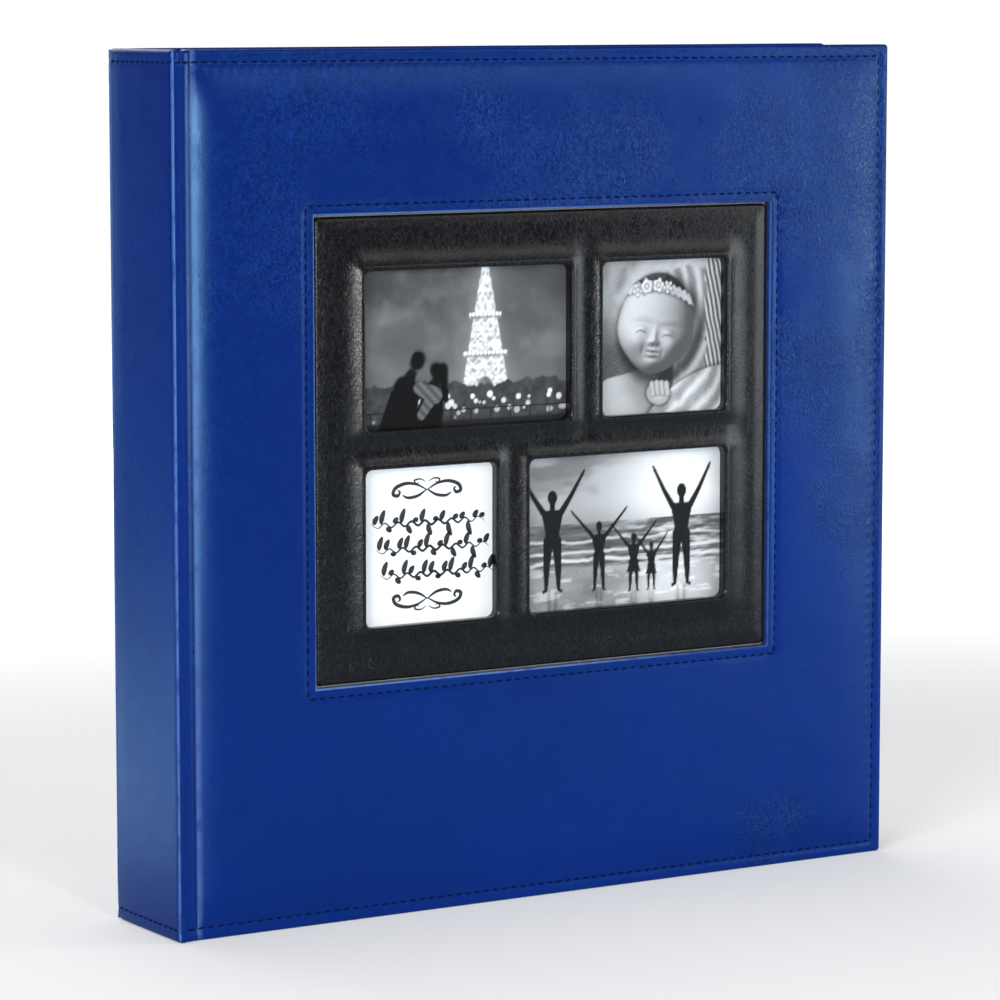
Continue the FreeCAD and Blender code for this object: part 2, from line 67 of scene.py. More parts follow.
def box_mm(node):
    """(x0, x1, y0, y1, z0, z1) of a CAD node, in millimetres."""
    low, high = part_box(node)
    return tuple(round(edge / MM, 4) for pair in zip(low, high) for edge in pair)


COVER_X0, FORE_X, _, COVER_Y1, _, TALL = box_mm("front_leather")
LINING_IN = -COVER_Y1
BOARD_OUT, BOARD_IN = (-y for y in box_mm("front_board")[2:4])
LINING_X0 = box_mm("front_lining")[0]
SPINE_X, SPINE_EDGE_X, SPINE_Y0, SPINE_Y1, _, _ = box_mm("spine_leather")
SPINE_OUT = -SPINE_Y0
SPINE_BOARD_X = box_mm("spine_board")[0]
PANEL_X0, PANEL_X1, _, _, PANEL_Z0, PANEL_Z1 = box_mm("frame_leather")
FRAME_BACK = -box_mm("frame_leather")[3]
FRAME_BOARD_OUT = -box_mm("frame_board")[2]
PICTURE_BOXES = [box_mm(f"picture_{number}") for number in (1, 2, 3, 4)]
BORDER_OUT = -box_mm("front_stitching")[2]

# (u, v, w) of a piece's own plan to the row frame: v is up and w points out of the piece
FRONT_WAY = Matrix(((1, 0, 0, 0), (0, 0, -1, 0), (0, 1, 0, 0), (0, 0, 0, 1)))
REAR_WAY = Matrix(((1, 0, 0, 0), (0, 0, 1, 0), (0, 1, 0, 0), (0, 0, 0, 1)))
SPINE_WAY = Matrix(((0, 0, -1, 0), (-1, 0, 0, 0), (0, 1, 0, 0), (0, 0, 0, 1)))
SIDES = (("front", FRONT_WAY), ("rear", REAR_WAY))


# ------------------------------------------------------------------------------ what can be set
def millimetres(name, default, description):
    """A size to set, in millimetres."""
    return FloatProperty(name=name, default=default, description=description)


def tint(name, default, description):
    """A colour to set."""
    return FloatVectorProperty(name=name, subtype="COLOR", size=3, default=default,
                               description=description)


class AlbumSizes(bpy.types.PropertyGroup):
    """Sizes of the soft leather work, in millimetres"""
    crown_rise: millimetres("Crown rise", 2.2, "How far the padding rises above the stitching")
    crown_slope: millimetres("Crown slope", 18.0, "Width of the padding's slope inside the stitching")
    hinge_slope: millimetres("Hinge slope", 16.0, "Width of the padding's slope beside the groove")
    hinge_shelf: millimetres("Hinge shelf", 1.7, "Flat strip between the groove and that slope, "
                             "which clears the spine when the cover lies open")
    stitch_inset: millimetres("Stitch inset", 4.8, "Edge stitching from the edge of a cover")
    stitch_pitch: millimetres("Stitch pitch", 4.2, "From one stitch to the next")
    stitch_length: millimetres("Stitch length", 2.9, "Length of one stitch")
    panel_stitch_gap: millimetres("Panel stitch gap", 4.4, "Panel to the stitching around it")
    recess_gap: millimetres("Recess gap", 0.6, "Black frame to the turned blue edge")
    frame_rim_rise: millimetres("Window rim rise", 2.2, "How far the frame swells at each window")
    frame_rim_width: millimetres("Window rim width", 11.0, "Width of the swelling at each window")
    picture_lap: millimetres("Picture lap", 4.0, "Picture card hidden behind its window's edge")
    mesh_step: millimetres("Mesh step", 1.15, "Spacing of the leather's mesh")
    print_step: millimetres("Print step", 0.5, "Spacing of the picture cards' mesh")
    stitch_sides: IntProperty(name="Stitch sides", default=6, min=4,
                              description="Sides of one stitch's thread")


class AlbumColours(bpy.types.PropertyGroup):
    """Colours of the album's finishes"""
    leather: tint("Leather", (0.0006, 0.0150, 0.150), "Blue leather")
    crease: tint("Creases", (0.003, 0.036, 0.24), "Creases of the leather")
    black_leather: tint("Black leather", (0.0032, 0.0032, 0.0038), "Window frame")
    thread: tint("Thread", (0.0006, 0.004, 0.040), "Stitching")
    card: tint("Leaves", (0.82, 0.80, 0.74), "Card of the leaves")
    lining: tint("Lining", (0.02, 0.021, 0.025), "Paper inside the covers")
    board: tint("Board", (0.30, 0.28, 0.25), "Grey board")


def sizes():
    return bpy.context.scene.album_sizes


def colours():
    return bpy.context.scene.album_colours


# ------------------------------------------------------------------------------ shared helpers
def smooth(value, start, end):
    """0 before start, 1 after end, and a soft step between."""
    t = min(max((value - start) / (end - start), 0.0), 1.0)
    return t * t * (3 - 2 * t)


def dome(value, start, end, power=2):
    """0 before start, then rising steeply and levelling off to 1 at the end."""
    t = min(max((value - start) / (end - start), 0.0), 1.0)
    return 1 - (1 - t) ** power


def bump(value, centre, width):
    return math.exp(-((value - centre) / width) ** 2)


def waver(u, v, scale, seed):
    return noise.noise(Vector((u / scale, v / scale, seed)))


def spread(stops, step):
    """Places from the first stop to the last, about a step apart, with every stop among them."""
    places = [stops[0]]
    for start, end in zip(stops, stops[1:]):
        count = max(1, round((end - start) / step))
        places += [start + (end - start) * number / count for number in range(1, count + 1)]
    return places


def new_piece(name, bm, way, body, finish, replaced=()):
    """Turns a bmesh in millimetres on its own plan into a piece that rides on a body."""
    bm.transform(way)
    bmesh.ops.scale(bm, vec=(MM, MM, MM), verts=bm.verts)
    if way.determinant() < 0:
        bmesh.ops.reverse_faces(bm, faces=bm.faces)
    piece = smooth_object(name, bm, finish)
    if body:
        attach(piece, body)
    if replaced:
        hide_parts(*replaced)
    return piece


def smooth_object(name, bm, finish):
    mesh = bpy.data.meshes.new(name)
    bm.to_mesh(mesh)
    bm.free()
    for polygon in mesh.polygons:
        polygon.use_smooth = True
    item = bpy.data.objects.new(name, mesh)
    bpy.context.scene.collection.objects.link(item)
    mesh.materials.append(material(finish))
    return item


def plan_grid(columns, rows):
    """A flat grid whose lines lie at these places."""
    bm = bmesh.new()
    across, up = len(columns) - 1, len(rows) - 1
    bmesh.ops.create_grid(bm, x_segments=across, y_segments=up, size=0.5)
    for vert in bm.verts:
        vert.co.x = columns[round((vert.co.x + 0.5) * across)]
        vert.co.y = rows[round((vert.co.y + 0.5) * up)]
    return bm


def raise_to(bm, height, *more):
    for vert in bm.verts:
        vert.co.z = height(vert.co.x, vert.co.y, *more)


def open_edges(bm):
    return [edge for edge in bm.edges if edge.is_boundary]


def cut_openings(bm, openings):
    for u0, u1, v0, v1 in openings:
        inside = []
        for face in bm.faces:
            centre = face.calc_center_median()
            if u0 < centre.x < u1 and v0 < centre.y < v1:
                inside.append(face)
        bmesh.ops.delete(bm, geom=inside, context="FACES")


def loop_on(bm, outline, tolerance=0.01):
    """The open edges that lie on a rectangle's four sides."""
    u0, u1, v0, v1 = outline

    def on_side(vert):
        u, v = vert.co.x, vert.co.y
        if not (u0 - tolerance < u < u1 + tolerance and v0 - tolerance < v < v1 + tolerance):
            return False
        return (min(abs(u - u0), abs(u - u1)) < tolerance
                or min(abs(v - v0), abs(v - v1)) < tolerance)

    return [edge for edge in open_edges(bm) if all(on_side(vert) for vert in edge.verts)]


def round_corners(verts, outline, radius):
    """Draws a rectangle's square corners onto arcs."""
    u0, u1, v0, v1 = outline
    middle_u, middle_v = (u0 + u1) / 2, (v0 + v1) / 2
    for vert in verts:
        side_u = 1 if vert.co.x > middle_u else -1
        side_v = 1 if vert.co.y > middle_v else -1
        centre_u = (u1 if side_u > 0 else u0) - side_u * radius
        centre_v = (v1 if side_v > 0 else v0) - side_v * radius
        off_u, off_v = (vert.co.x - centre_u) * side_u, (vert.co.y - centre_v) * side_v
        if off_u > 0 and off_v > 0:
            reach = max(off_u, off_v) / math.hypot(off_u, off_v)
            vert.co.x = centre_u + side_u * off_u * reach
            vert.co.y = centre_v + side_v * off_v * reach


def add_rings(bm, edges, outline, steps):
    """Extrudes a loop ring by ring. A step is (how far outside the outline, drop or None, level):
    the drop is measured from the loop's own height, and a level is a height of the plan."""
    u0, u1, v0, v1 = outline
    middle = Vector(((u0 + u1) / 2, (v0 + v1) / 2, 0))
    half_u, half_v = (u1 - u0) / 2, (v1 - v0) / 2
    start = {vert: vert.co.copy() for edge in edges for vert in edge.verts}
    for outward, drop, level in steps:
        made = bmesh.ops.extrude_edge_only(bm, edges=edges)["geom"]
        fresh = {item for item in made if isinstance(item, bmesh.types.BMVert)}
        following = {}
        for vert in fresh:
            old = next(edge.other_vert(vert) for edge in vert.link_edges
                       if edge.other_vert(vert) in start)
            base = start[old]
            following[vert] = base
            vert.co.x = middle.x + (base.x - middle.x) * (half_u + outward) / half_u
            vert.co.y = middle.y + (base.y - middle.y) * (half_v + outward) / half_v
            vert.co.z = level if drop is None else base.z - drop
        start = following
        edges = [item for item in made if isinstance(item, bmesh.types.BMEdge)
                 and all(vert in fresh for vert in item.verts)]
    return edges


def rounded_steps(radius, count=3, side=1):
    """Steps over a rounded edge, outwards (1) or into an opening (-1)."""
    steps = []
    for number in range(1, count + 1):
        angle = math.pi / 2 * number / count
        steps.append((side * radius * math.sin(angle), radius * (1 - math.cos(angle)), None))
    return steps


def closed(bm, edges, pierced=False):
    """Fills inside the last ring, leaving out openings if it is pierced, and turns faces out."""
    if pierced:
        bmesh.ops.triangle_fill(bm, edges=edges, use_beauty=True)
    else:
        bmesh.ops.holes_fill(bm, edges=edges, sides=0)
    bmesh.ops.recalc_face_normals(bm, faces=bm.faces)
    return bm


def outset(outline, amount):
    u0, u1, v0, v1 = outline
    return u0 - amount, u1 + amount, v0 - amount, v1 + amount


def outside_distance(u, v, outline):
    """Distance outside a rectangle, and negative inside it."""
    u0, u1, v0, v1 = outline
    over_u = max(u0 - u, u - u1)
    over_v = max(v0 - v, v - v1)
    if over_u > 0 and over_v > 0:
        return math.hypot(over_u, over_v)
    return max(over_u, over_v)


# ------------------------------------------------------------------------------ finishes
class Finish:
    """A node material on the object's own coordinates, built from the shader backwards."""

    def __init__(self, name, **values):
        self.material = bpy.data.materials.new(name)
        self.material.use_nodes = True
        self.nodes = self.material.node_tree.nodes
        self.shader = self.nodes["Principled BSDF"]
        self.place = self.nodes.new("ShaderNodeTexCoord").outputs["Object"]
        for key, value in values.items():
            self.feed(self.shader.inputs[key.replace("_", " ")], value)

    def feed(self, socket, item):
        """Joins another node's output to a socket, or sets it to a number or a colour."""
        if isinstance(item, bpy.types.NodeSocket):
            self.material.node_tree.links.new(item, socket)
        elif socket.type == "RGBA":
            socket.default_value = (*item, 1)
        else:
            socket.default_value = item

    def node(self, kind, **values):
        node = self.nodes.new(f"ShaderNode{kind}")
        for key, value in values.items():
            self.feed(node.inputs[key.replace("_", " ")], value)
        return node

    def axes(self):
        """The place's x, y and z."""
        return self.node("SeparateXYZ", Vector=self.place).outputs

    def scaled(self, scale):
        return self.node("Mapping", Vector=self.place, Scale=scale).outputs["Vector"]

    def noise(self, scale, detail=3.0, roughness=0.55, place=None, distortion=0.0):
        return self.node("TexNoise", Vector=place or self.place, Scale=scale, Detail=detail,
                         Roughness=roughness, Distortion=distortion).outputs["Fac"]

    def curve(self, value, low, high, to_low=0.0, to_high=1.0, kind="SMOOTHSTEP"):
        node = self.node("MapRange", Value=value, From_Min=low, From_Max=high, To_Min=to_low,
                         To_Max=to_high)
        node.interpolation_type = kind
        return node.outputs["Result"]

    def maths(self, kind, first, second=0.0):
        node = self.node("Math")
        node.operation = kind
        self.feed(node.inputs[0], first)
        self.feed(node.inputs[1], second)
        return node.outputs["Value"]

    def times(self, first, *others):
        return functools.reduce(functools.partial(self.maths, "MULTIPLY"), others, first)

    def largest(self, first, *others):
        return functools.reduce(functools.partial(self.maths, "MAXIMUM"), others, first)

    def off(self, value, middle):
        """How far a value is from a middle one, on either side."""
        return self.maths("ABSOLUTE", self.maths("SUBTRACT", value, middle))

    def blend_colour(self, factor, first, second):
        node = self.nodes.new("ShaderNodeMix")
        node.data_type = "RGBA"
        self.feed(node.inputs["Factor"], factor)
        for name, item in (("A", first), ("B", second)):
            socket = next(s for s in node.inputs if s.name == name and s.type == "RGBA")
            self.feed(socket, item)
        return next(s for s in node.outputs if s.type == "RGBA")

    def colour(self, output):
        self.feed(self.shader.inputs["Base Color"], output)

    def roughness(self, output):
        self.feed(self.shader.inputs["Roughness"], output)

    def bump(self, height, distance_mm, strength=1.0, under=None):
        """Raises the surface, on top of the bump under it; the last one reaches the shader."""
        node = self.node("Bump", Height=height, Distance=distance_mm * MM, Strength=strength)
        if under:
            self.feed(node.inputs["Normal"], under)
        self.feed(self.shader.inputs["Normal"], node.outputs["Normal"])
        return node.outputs["Normal"]


def tinted(colour, factor):
    return tuple(min(channel * factor, 1.0) for channel in colour)


def wrinkles(finish, scale, width, place, detail, distortion):
    """Meandering lines, 1 along each wrinkle and 0 between them."""
    field = finish.noise(scale, detail, 0.5, place, distortion)
    return finish.curve(finish.off(field, 0.5), 0.0, width, 1.0, 0.0)


def edge_highlights(finish, x, y, z):
    """Painted highlights: 1 on the spine's long corners and the turned edge round the window panel,
    weaker on the panel's right side, and less where the padding rises beside the groove."""
    # painted highlight lines, uneven along their length
    corner_y = finish.curve(finish.off(y, 0.0), (SPINE_OUT - 1.3) * MM, (SPINE_OUT - 0.4) * MM)
    corner_x = finish.curve(x, (SPINE_X + 0.5) * MM, (SPINE_X + 1.4) * MM, 1.0, 0.0)
    corner = finish.times(corner_x, corner_y)
    half_x, half_z = (PANEL_X1 - PANEL_X0) / 2 * MM, (PANEL_Z1 - PANEL_Z0) / 2 * MM
    middle_x, middle_z = (PANEL_X1 + PANEL_X0) / 2 * MM, (PANEL_Z1 + PANEL_Z0) / 2 * MM
    away = finish.largest(finish.maths("SUBTRACT", finish.off(x, middle_x), half_x),
                          finish.maths("SUBTRACT", finish.off(z, middle_z), half_z))
    turned = finish.times(finish.curve(away, 0.9 * MM, 1.5 * MM, 1.0, 0.0),
                          finish.curve(away, 0.45 * MM, 0.7 * MM),
                          finish.curve(y, -20 * MM, -24 * MM),
                          finish.curve(x, middle_x, middle_x + half_x, 1.0, 0.25))
    ridge = finish.times(
        finish.curve(x, (COVER_X0 + 1.9) * MM, (COVER_X0 + 4.5) * MM, 0.46, 0.0),
        finish.curve(x, (COVER_X0 + 1.2) * MM, (COVER_X0 + 1.8) * MM))
    uneven = finish.curve(finish.noise(130.0), 0.25, 0.55, 0.35, 1.0)
    return finish.times(finish.largest(corner, turned, ridge), uneven)


def creased_leather(name, base, crease):
    """Smooth satin leather, with fine wrinkles that gather in patches towards the top, painted shade
    over its upper part, and painted highlights on some edges.
    """
    finish = Finish(name, Specular_IOR_Level=0.36, Specular_Tint=(0.31, 0.68, 0.96))
    x, y, z = finish.axes()
    calm_spine = finish.curve(x, (SPINE_X + 0.8) * MM, (COVER_X0 + 2) * MM, 0.15, 1.0)
    upper = finish.curve(z, 0.04, 0.30, -0.13, 0.12, "LINEAR")
    outer = finish.curve(x, -0.10, 0.16, -0.03, 0.09, "LINEAR")
    patches = finish.maths("ADD", finish.noise(13.0, 3.0, 0.6), finish.maths("ADD", upper, outer))
    rich = finish.times(finish.curve(patches, 0.45, 0.75), calm_spine)
    depth = finish.curve(rich, 0.0, 1.0, 0.22, 1.0)
    fine = wrinkles(finish, 580.0, 0.06, finish.scaled((1.0, 1.0, 0.85)), 3.0, 0.9)
    fine = finish.times(fine, depth)
    broken = finish.curve(finish.noise(60.0), 0.42, 0.60)
    medium = wrinkles(finish, 95.0, 0.022, finish.place, 5.0, 1.6)
    medium = finish.times(medium, broken, rich)
    lines = finish.largest(medium, finish.times(fine, 0.80))
    # painted shade: darker over the upper part of the leather, most from the spine to the middle,
    # little on the spine
    inner = finish.times(finish.curve(z, 0.05, 0.16), finish.curve(x, 0.0, 0.14, 0.62, 0.0),
                         calm_spine)
    # painted highlights on the spine's corners, the panel's turned edge and the slope beside the groove
    painted_highlight = finish.times(edge_highlights(finish, x, y, z), 0.62)
    shade = finish.blend_colour(finish.curve(finish.noise(7.0), 0.3, 0.7), tinted(base, 0.88),
                                tinted(base, 1.12))
    for amount, colour in ((finish.times(depth, 0.62), tinted(base, 0.38)),
                           # the painted shade of the upper leather
                           (inner, tinted(base, 0.62)), (finish.times(lines, 0.66), crease),
                           # colour of the painted highlights
                           (painted_highlight, (0.16, 0.27, 0.55))):
        shade = finish.blend_colour(amount, shade, colour)
    finish.colour(shade)
    finish.roughness(finish.curve(finish.noise(110.0), 0.25, 0.75, 0.25, 0.33, "LINEAR"))
    relief = finish.times(depth, finish.curve(x, -0.08, 0.14, 0.22, 1.0))
    under = finish.bump(finish.noise(34.0, 2.0), 0.5, 0.4)
    under = finish.bump(finish.times(finish.noise(900.0, 2.0, 0.6), relief), 0.20, 0.7, under)
    finish.bump(finish.times(finish.largest(medium, fine), relief), 0.09, 0.7, under)
    return finish.material


def grained_leather(name, base):
    """Glossy black leather with a scratchy grain and short pale cracks."""
    finish = Finish(name, Specular_IOR_Level=0.25, Specular_Tint=(1.0, 0.96, 0.92))
    fine = wrinkles(finish, 560.0, 0.06, finish.scaled((1.0, 1.0, 0.6)), 3.0, 1.0)
    rich = finish.curve(finish.noise(24.0), 0.42, 0.60)
    broken = finish.curve(finish.noise(85.0), 0.50, 0.62)
    cracks = finish.times(wrinkles(finish, 150.0, 0.020, finish.place, 5.0, 1.6), broken, rich)
    lines = finish.largest(cracks, finish.times(fine, 0.45))
    finish.colour(finish.blend_colour(finish.times(lines, 0.5), base, tinted(base, 9.0)))
    finish.roughness(finish.curve(finish.noise(90.0), 0.3, 0.7, 0.20, 0.27, "LINEAR"))
    under = finish.bump(finish.noise(50.0, 2.0), 0.6, 0.4)
    under = finish.bump(finish.noise(760.0, 2.0, 0.6), 0.08, 0.7, under)
    finish.bump(finish.maths("SUBTRACT", 1.0, lines), 0.05, 0.6, under)
    return finish.material


def twisted_thread(name, colour):
    finish = Finish(name, Specular_IOR_Level=0.12, Specular_Tint=(0.2, 0.5, 1.0))
    fibre = finish.noise(2600.0, 2.0)
    finish.colour(finish.blend_colour(fibre, tinted(colour, 0.6), tinted(colour, 1.5)))
    finish.roughness(finish.curve(fibre, 0.3, 0.7, 0.45, 0.65))
    finish.bump(fibre, 0.06, 0.6)
    return finish.material


def paper(name, colour, tooth=900.0, roughness=0.8):
    finish = Finish(name)
    fibre = finish.noise(tooth, 4.0, 0.65)
    tone = finish.noise(24.0)
    mottle = finish.curve(finish.times(fibre, tone), 0.1, 0.45)
    finish.colour(finish.blend_colour(mottle, tinted(colour, 0.9), tinted(colour, 1.05)))
    finish.roughness(finish.curve(tone, 0.3, 0.7, roughness - 0.05, min(roughness + 0.08, 1)))
    finish.bump(fibre, 0.04, 0.4)
    return finish.material


def turned_metal(name, colour):
    finish = Finish(name, Metallic=1.0)
    brushed = finish.noise(60.0, place=finish.scaled((30, 2, 30)))
    finish.colour(finish.blend_colour(brushed, tinted(colour, 0.85), colour))
    finish.roughness(finish.curve(brushed, 0.3, 0.7, 0.22, 0.36))
    finish.bump(brushed, 0.02, 0.3)
    return finish.material


def clear_film(name):
    finish = Finish(name, Base_Color=(0.02, 0.02, 0.022), Alpha=0.03, Specular_IOR_Level=0.5)
    finish.roughness(finish.curve(finish.noise(30.0, 2.0), 0.3, 0.7, 0.06, 0.12))
    return finish.material


def printed_picture(name):
    """Satin print whose tone is stored on the mesh."""
    finish = Finish(name, Specular_IOR_Level=0.12)
    tone = finish.node("Attribute")
    tone.attribute_name = "tone"
    finish.colour(tone.outputs["Color"])
    grain = finish.noise(1800.0, 2.0)
    finish.roughness(finish.curve(grain, 0.3, 0.7, 0.26, 0.34))
    finish.bump(grain, 0.01, 0.3)
    return finish.material


def plain_floor(name):
    """A pale floor: white to look at, glowing less near the album, which paints shade round it; dim
    blue in the leather's reflections and bounced light, with a glowing blue patch behind the album's
    left that paints a reflection and light on the spine.
    """
    finish = Finish(name, Specular_IOR_Level=0.0, Emission_Color=(1, 1, 1))
    cloud = finish.noise(3.0, 2.0)
    finish.colour(finish.blend_colour(cloud, (0.66, 0.66, 0.66), (0.68, 0.68, 0.68)))
    finish.roughness(finish.curve(cloud, 0.3, 0.7, 0.6, 0.7))
    away = finish.node("VectorMath")
    away.operation = "LENGTH"
    finish.feed(away.inputs[0], finish.place)
    # painted shade: the floor's glow is weaker near the album, so it looks darker round it
    finish.feed(finish.shader.inputs["Emission Strength"],
                finish.curve(away.outputs["Value"], 0.35, 1.3, 0.25, 1.0))
    x, y, _ = finish.axes()
    # painted reflection: to reflections and bounced light the floor is a dim blue, bluest far to the
    # left
    dim = finish.node("BsdfDiffuse", Color=finish.blend_colour(
        finish.curve(x, -0.45, -0.10), (0.22, 0.48, 0.80), (0.45, 0.58, 0.68)))
    # painted light: a blue patch behind the album's left glows for reflections and bounced light only,
    # a painted reflection on the spine
    painted_glow_patch = finish.times(finish.curve(y, 0.0, 0.15), finish.curve(y, 0.25, 1.0, 1.0, 0.0),
                               finish.curve(x, -0.28, -0.17, 1.5, 0.0))
    glow = finish.node("Emission", Color=(0.42, 0.70, 1.0), Strength=painted_glow_patch)
    lit = finish.node("AddShader")
    mix = finish.node("MixShader", Fac=finish.node("LightPath").outputs["Is Camera Ray"])
    for socket, output in ((lit.inputs[0], dim.outputs[0]), (lit.inputs[1], glow.outputs[0]),
                           (mix.inputs[1], lit.outputs[0]),
                           (mix.inputs[2], finish.shader.outputs[0]),
                           (finish.nodes["Material Output"].inputs["Surface"], mix.outputs[0])):
        finish.feed(socket, output)
    return finish.material


MATERIALS = {}


def material(key):
    """Each finish is made once, the first time that a piece asks for it."""
    tints = colours()
    makers = {
        "blue_leather": lambda: creased_leather(key, tints.leather, tints.crease),
        "black_leather": lambda: grained_leather(key, tints.black_leather),
        "thread": lambda: twisted_thread("navy_thread", tints.thread),
        "leaf_card": lambda: paper(key, tints.card),
        "spacer_card": lambda: paper(key, tinted(tints.card, 0.92), 600.0),
        "lining_paper": lambda: paper(key, tints.lining, 1300.0, 0.7),
        "grey_board": lambda: paper(key, tints.board, 400.0, 0.9),
        "post_metal": lambda: turned_metal(key, (0.78, 0.78, 0.80)),
        "clear_film": lambda: clear_film(key),
        "picture_card": lambda: printed_picture("picture_print"),
        "ink": lambda: paper("black_ink", (0.012, 0.012, 0.013), 1200.0, 0.5),
        "floor": lambda: plain_floor("studio_floor"),
    }
    if key not in MATERIALS:
        MATERIALS[key] = makers[key]()
    return MATERIALS[key]


# ------------------------------------------------------------------------------ padded covers
COVER_PLAN = (COVER_X0, FORE_X, 0.0, TALL)
PANEL_PLAN = (PANEL_X0, PANEL_X1, PANEL_Z0, PANEL_Z1)
RIM_RADIUS = 1.1        # rounded edge of a cover, and its corner seen from the front
COVER_CORNER = 1.3
LEATHER = 1.0           # thickness
HINGE_RISE = 0.08       # share of the padding's rise on the shelf beside the groove
SEAM_WIDTH = 0.8        # the dent along a row of stitches
COVER_SEAM = 0.50
PANEL_SEAM = 0.40
PANEL_SINK = 0.45       # the padding is pressed down around the panel, and recovers
PANEL_FADE = 7.0
PUCKER = 0.10           # the leather puckers from stitch to stitch, also just inside the row
PUCKER_INSET = 2.6
PUCKER_WIDTH = 1.6
SEAM_TO_PADDING = 0.7
FORE_STRETCH, HEAD_STRETCH, FOOT_STRETCH = 1.7, 1.15, 0.8   # of the crown's slope, by side
SLACK, FINE_SLACK = 0.22, 0.07


def pull(along):
    """1 at a stitch's middle and -1 between two stitches."""
    return math.cos(2 * math.pi * along / sizes().stitch_pitch)


def cover_height(u, v, panel):
    """Height of a cover's leather over its plan, whose low u side is at the hinge."""
    album = sizes()
    hinge, fore, foot, head = u - COVER_X0, FORE_X - u, v, TALL - v
    stitched = min(fore, foot, head)
    inner = album.stitch_inset + SEAM_TO_PADDING
    rise = dome(fore, inner, inner + album.crown_slope * FORE_STRETCH, 3)
    rise *= dome(head, inner, inner + album.crown_slope * HEAD_STRETCH)
    rise *= dome(foot, inner, inner + album.crown_slope * FOOT_STRETCH)
    shelf = album.hinge_shelf
    rise *= HINGE_RISE + (1 - HINGE_RISE) * dome(hinge, shelf, shelf + album.hinge_slope, 3)
    height = BORDER_OUT + album.crown_rise * rise
    tug = PUCKER * pull(v if fore == stitched else u)
    height -= (COVER_SEAM + tug) * bump(stitched, album.stitch_inset, SEAM_WIDTH)
    height += tug * bump(stitched, album.stitch_inset + PUCKER_INSET, PUCKER_WIDTH)
    if panel:
        away = outside_distance(u, v, PANEL_PLAN)
        beyond = max(away - album.panel_stitch_gap, 0.0)
        height -= PANEL_SINK * math.exp(-beyond / PANEL_FADE)
        height -= PANEL_SEAM * bump(away, album.panel_stitch_gap, SEAM_WIDTH)
    soft = smooth(stitched, inner, inner + 25.0) * smooth(hinge, 0, 20)
    slack = SLACK * waver(u, v, 70.0, 1.7) + FINE_SLACK * waver(u, v, 17.0, 4.1)
    return height + soft * slack


def build_cover(front):
    """A cover's padded leather, wrapped round the board and turned in; the front has a recess."""
    step = sizes().mesh_step
    inner = outset(COVER_PLAN, -RIM_RADIUS)
    turn = RIM_RADIUS * 0.7
    bead = outset(PANEL_PLAN, sizes().recess_gap + turn)
    bm = plan_grid(spread([inner[0], *bead[:2], inner[1]], step),
                   spread([inner[2], *bead[2:], inner[3]], step))
    if front:
        cut_openings(bm, [bead])
    round_corners(bm.verts, inner, COVER_CORNER)
    bead_edges = loop_on(bm, bead) if front else []
    bead_set = set(bead_edges)
    outer_edges = [edge for edge in open_edges(bm) if edge not in bead_set]
    raise_to(bm, cover_height, front)
    hem = RIM_RADIUS - LINING_X0 + COVER_X0
    inside = RIM_RADIUS - LEATHER
    wrap = [(outward, None, level) for outward, level in
            ((RIM_RADIUS, LINING_IN + 0.7), (RIM_RADIUS - 0.25, LINING_IN + 0.15),
             (RIM_RADIUS - 0.9, LINING_IN), (hem + 0.4, LINING_IN), (hem, LINING_IN + 0.15),
             (hem, BOARD_IN), (inside, BOARD_IN), (inside, BOARD_OUT))]
    last = add_rings(bm, outer_edges, inner, rounded_steps(RIM_RADIUS) + wrap)
    if front:
        sides = rounded_steps(turn, 3, -1) + [(-turn, None, BOARD_OUT)]
        last += add_rings(bm, bead_edges, bead, sides)
    return closed(bm, last, pierced=front)


class ALBUM_OT_covers(bpy.types.Operator):
    """Make the padded leather of both covers"""
    bl_idname = "album.covers"
    bl_label = "Padded Covers"

    def execute(self, context):
        for side, way in SIDES:
            cover = new_piece(f"{side}_cover_leather", build_cover(side == "front"), way,
                              f"{side}_cover", "blue_leather", (f"{side}_leather", f"{side}_foam"))
        return {"FINISHED"}


# ------------------------------------------------------------------------------ spine and grooves
SPINE_PLAN = (SPINE_Y0, SPINE_Y1, 0.0, TALL)
SPINE_RADIUS = 1.8
SPINE_CORNER = 1.0
SPINE_BOW = 0.25        # how far the spine falls away from its middle to its long edges
SPINE_ROLL = 0.35       # and how much more on its rear side
SPINE_SEAM, SPINE_PUCKER, SPINE_SLACK = 0.35, 0.08, 0.10
SPINE_SINK = 0.05       # clear of the CAD's own surface
GROOVE_DIP = 0.22       # over the hinge, and then down to the cover's edge
GROOVE_DROP = 0.62
GROOVE_SEAM, GROOVE_SEAM_WIDTH = 0.30, 0.9
FOLD, END_FOLD = 0.05, 0.55


def spine_height(u, v):
    """How far the spine's leather stands out, over its width and height."""
    edge = min(v, TALL - v)
    height = -SPINE_X - SPINE_BOW * (u / SPINE_OUT) ** 2
    height -= SPINE_ROLL * smooth(-u, 12.0, 26.0) ** 2 + SPINE_SINK
    height -= (SPINE_SEAM + SPINE_PUCKER * pull(u)) * bump(edge, sizes().stitch_inset, SEAM_WIDTH)
    return height + SPINE_SLACK * smooth(edge, 4, 20) * waver(u, v, 40.0, 8.2)


def build_spine():
    inner = outset(SPINE_PLAN, -SPINE_RADIUS)
    step = sizes().mesh_step
    bm = plan_grid(spread(inner[:2], step), spread(inner[2:], step))
    round_corners(bm.verts, inner, SPINE_CORNER)
    edges = open_edges(bm)
    raise_to(bm, spine_height)
    hem, inside = -SPINE_EDGE_X, SPINE_RADIUS - LEATHER
    wrap = [(SPINE_RADIUS, None, hem), (inside, None, hem), (inside, None, -SPINE_BOARD_X)]
    return closed(bm, add_rings(bm, edges, inner, rounded_steps(SPINE_RADIUS, 4) + wrap))


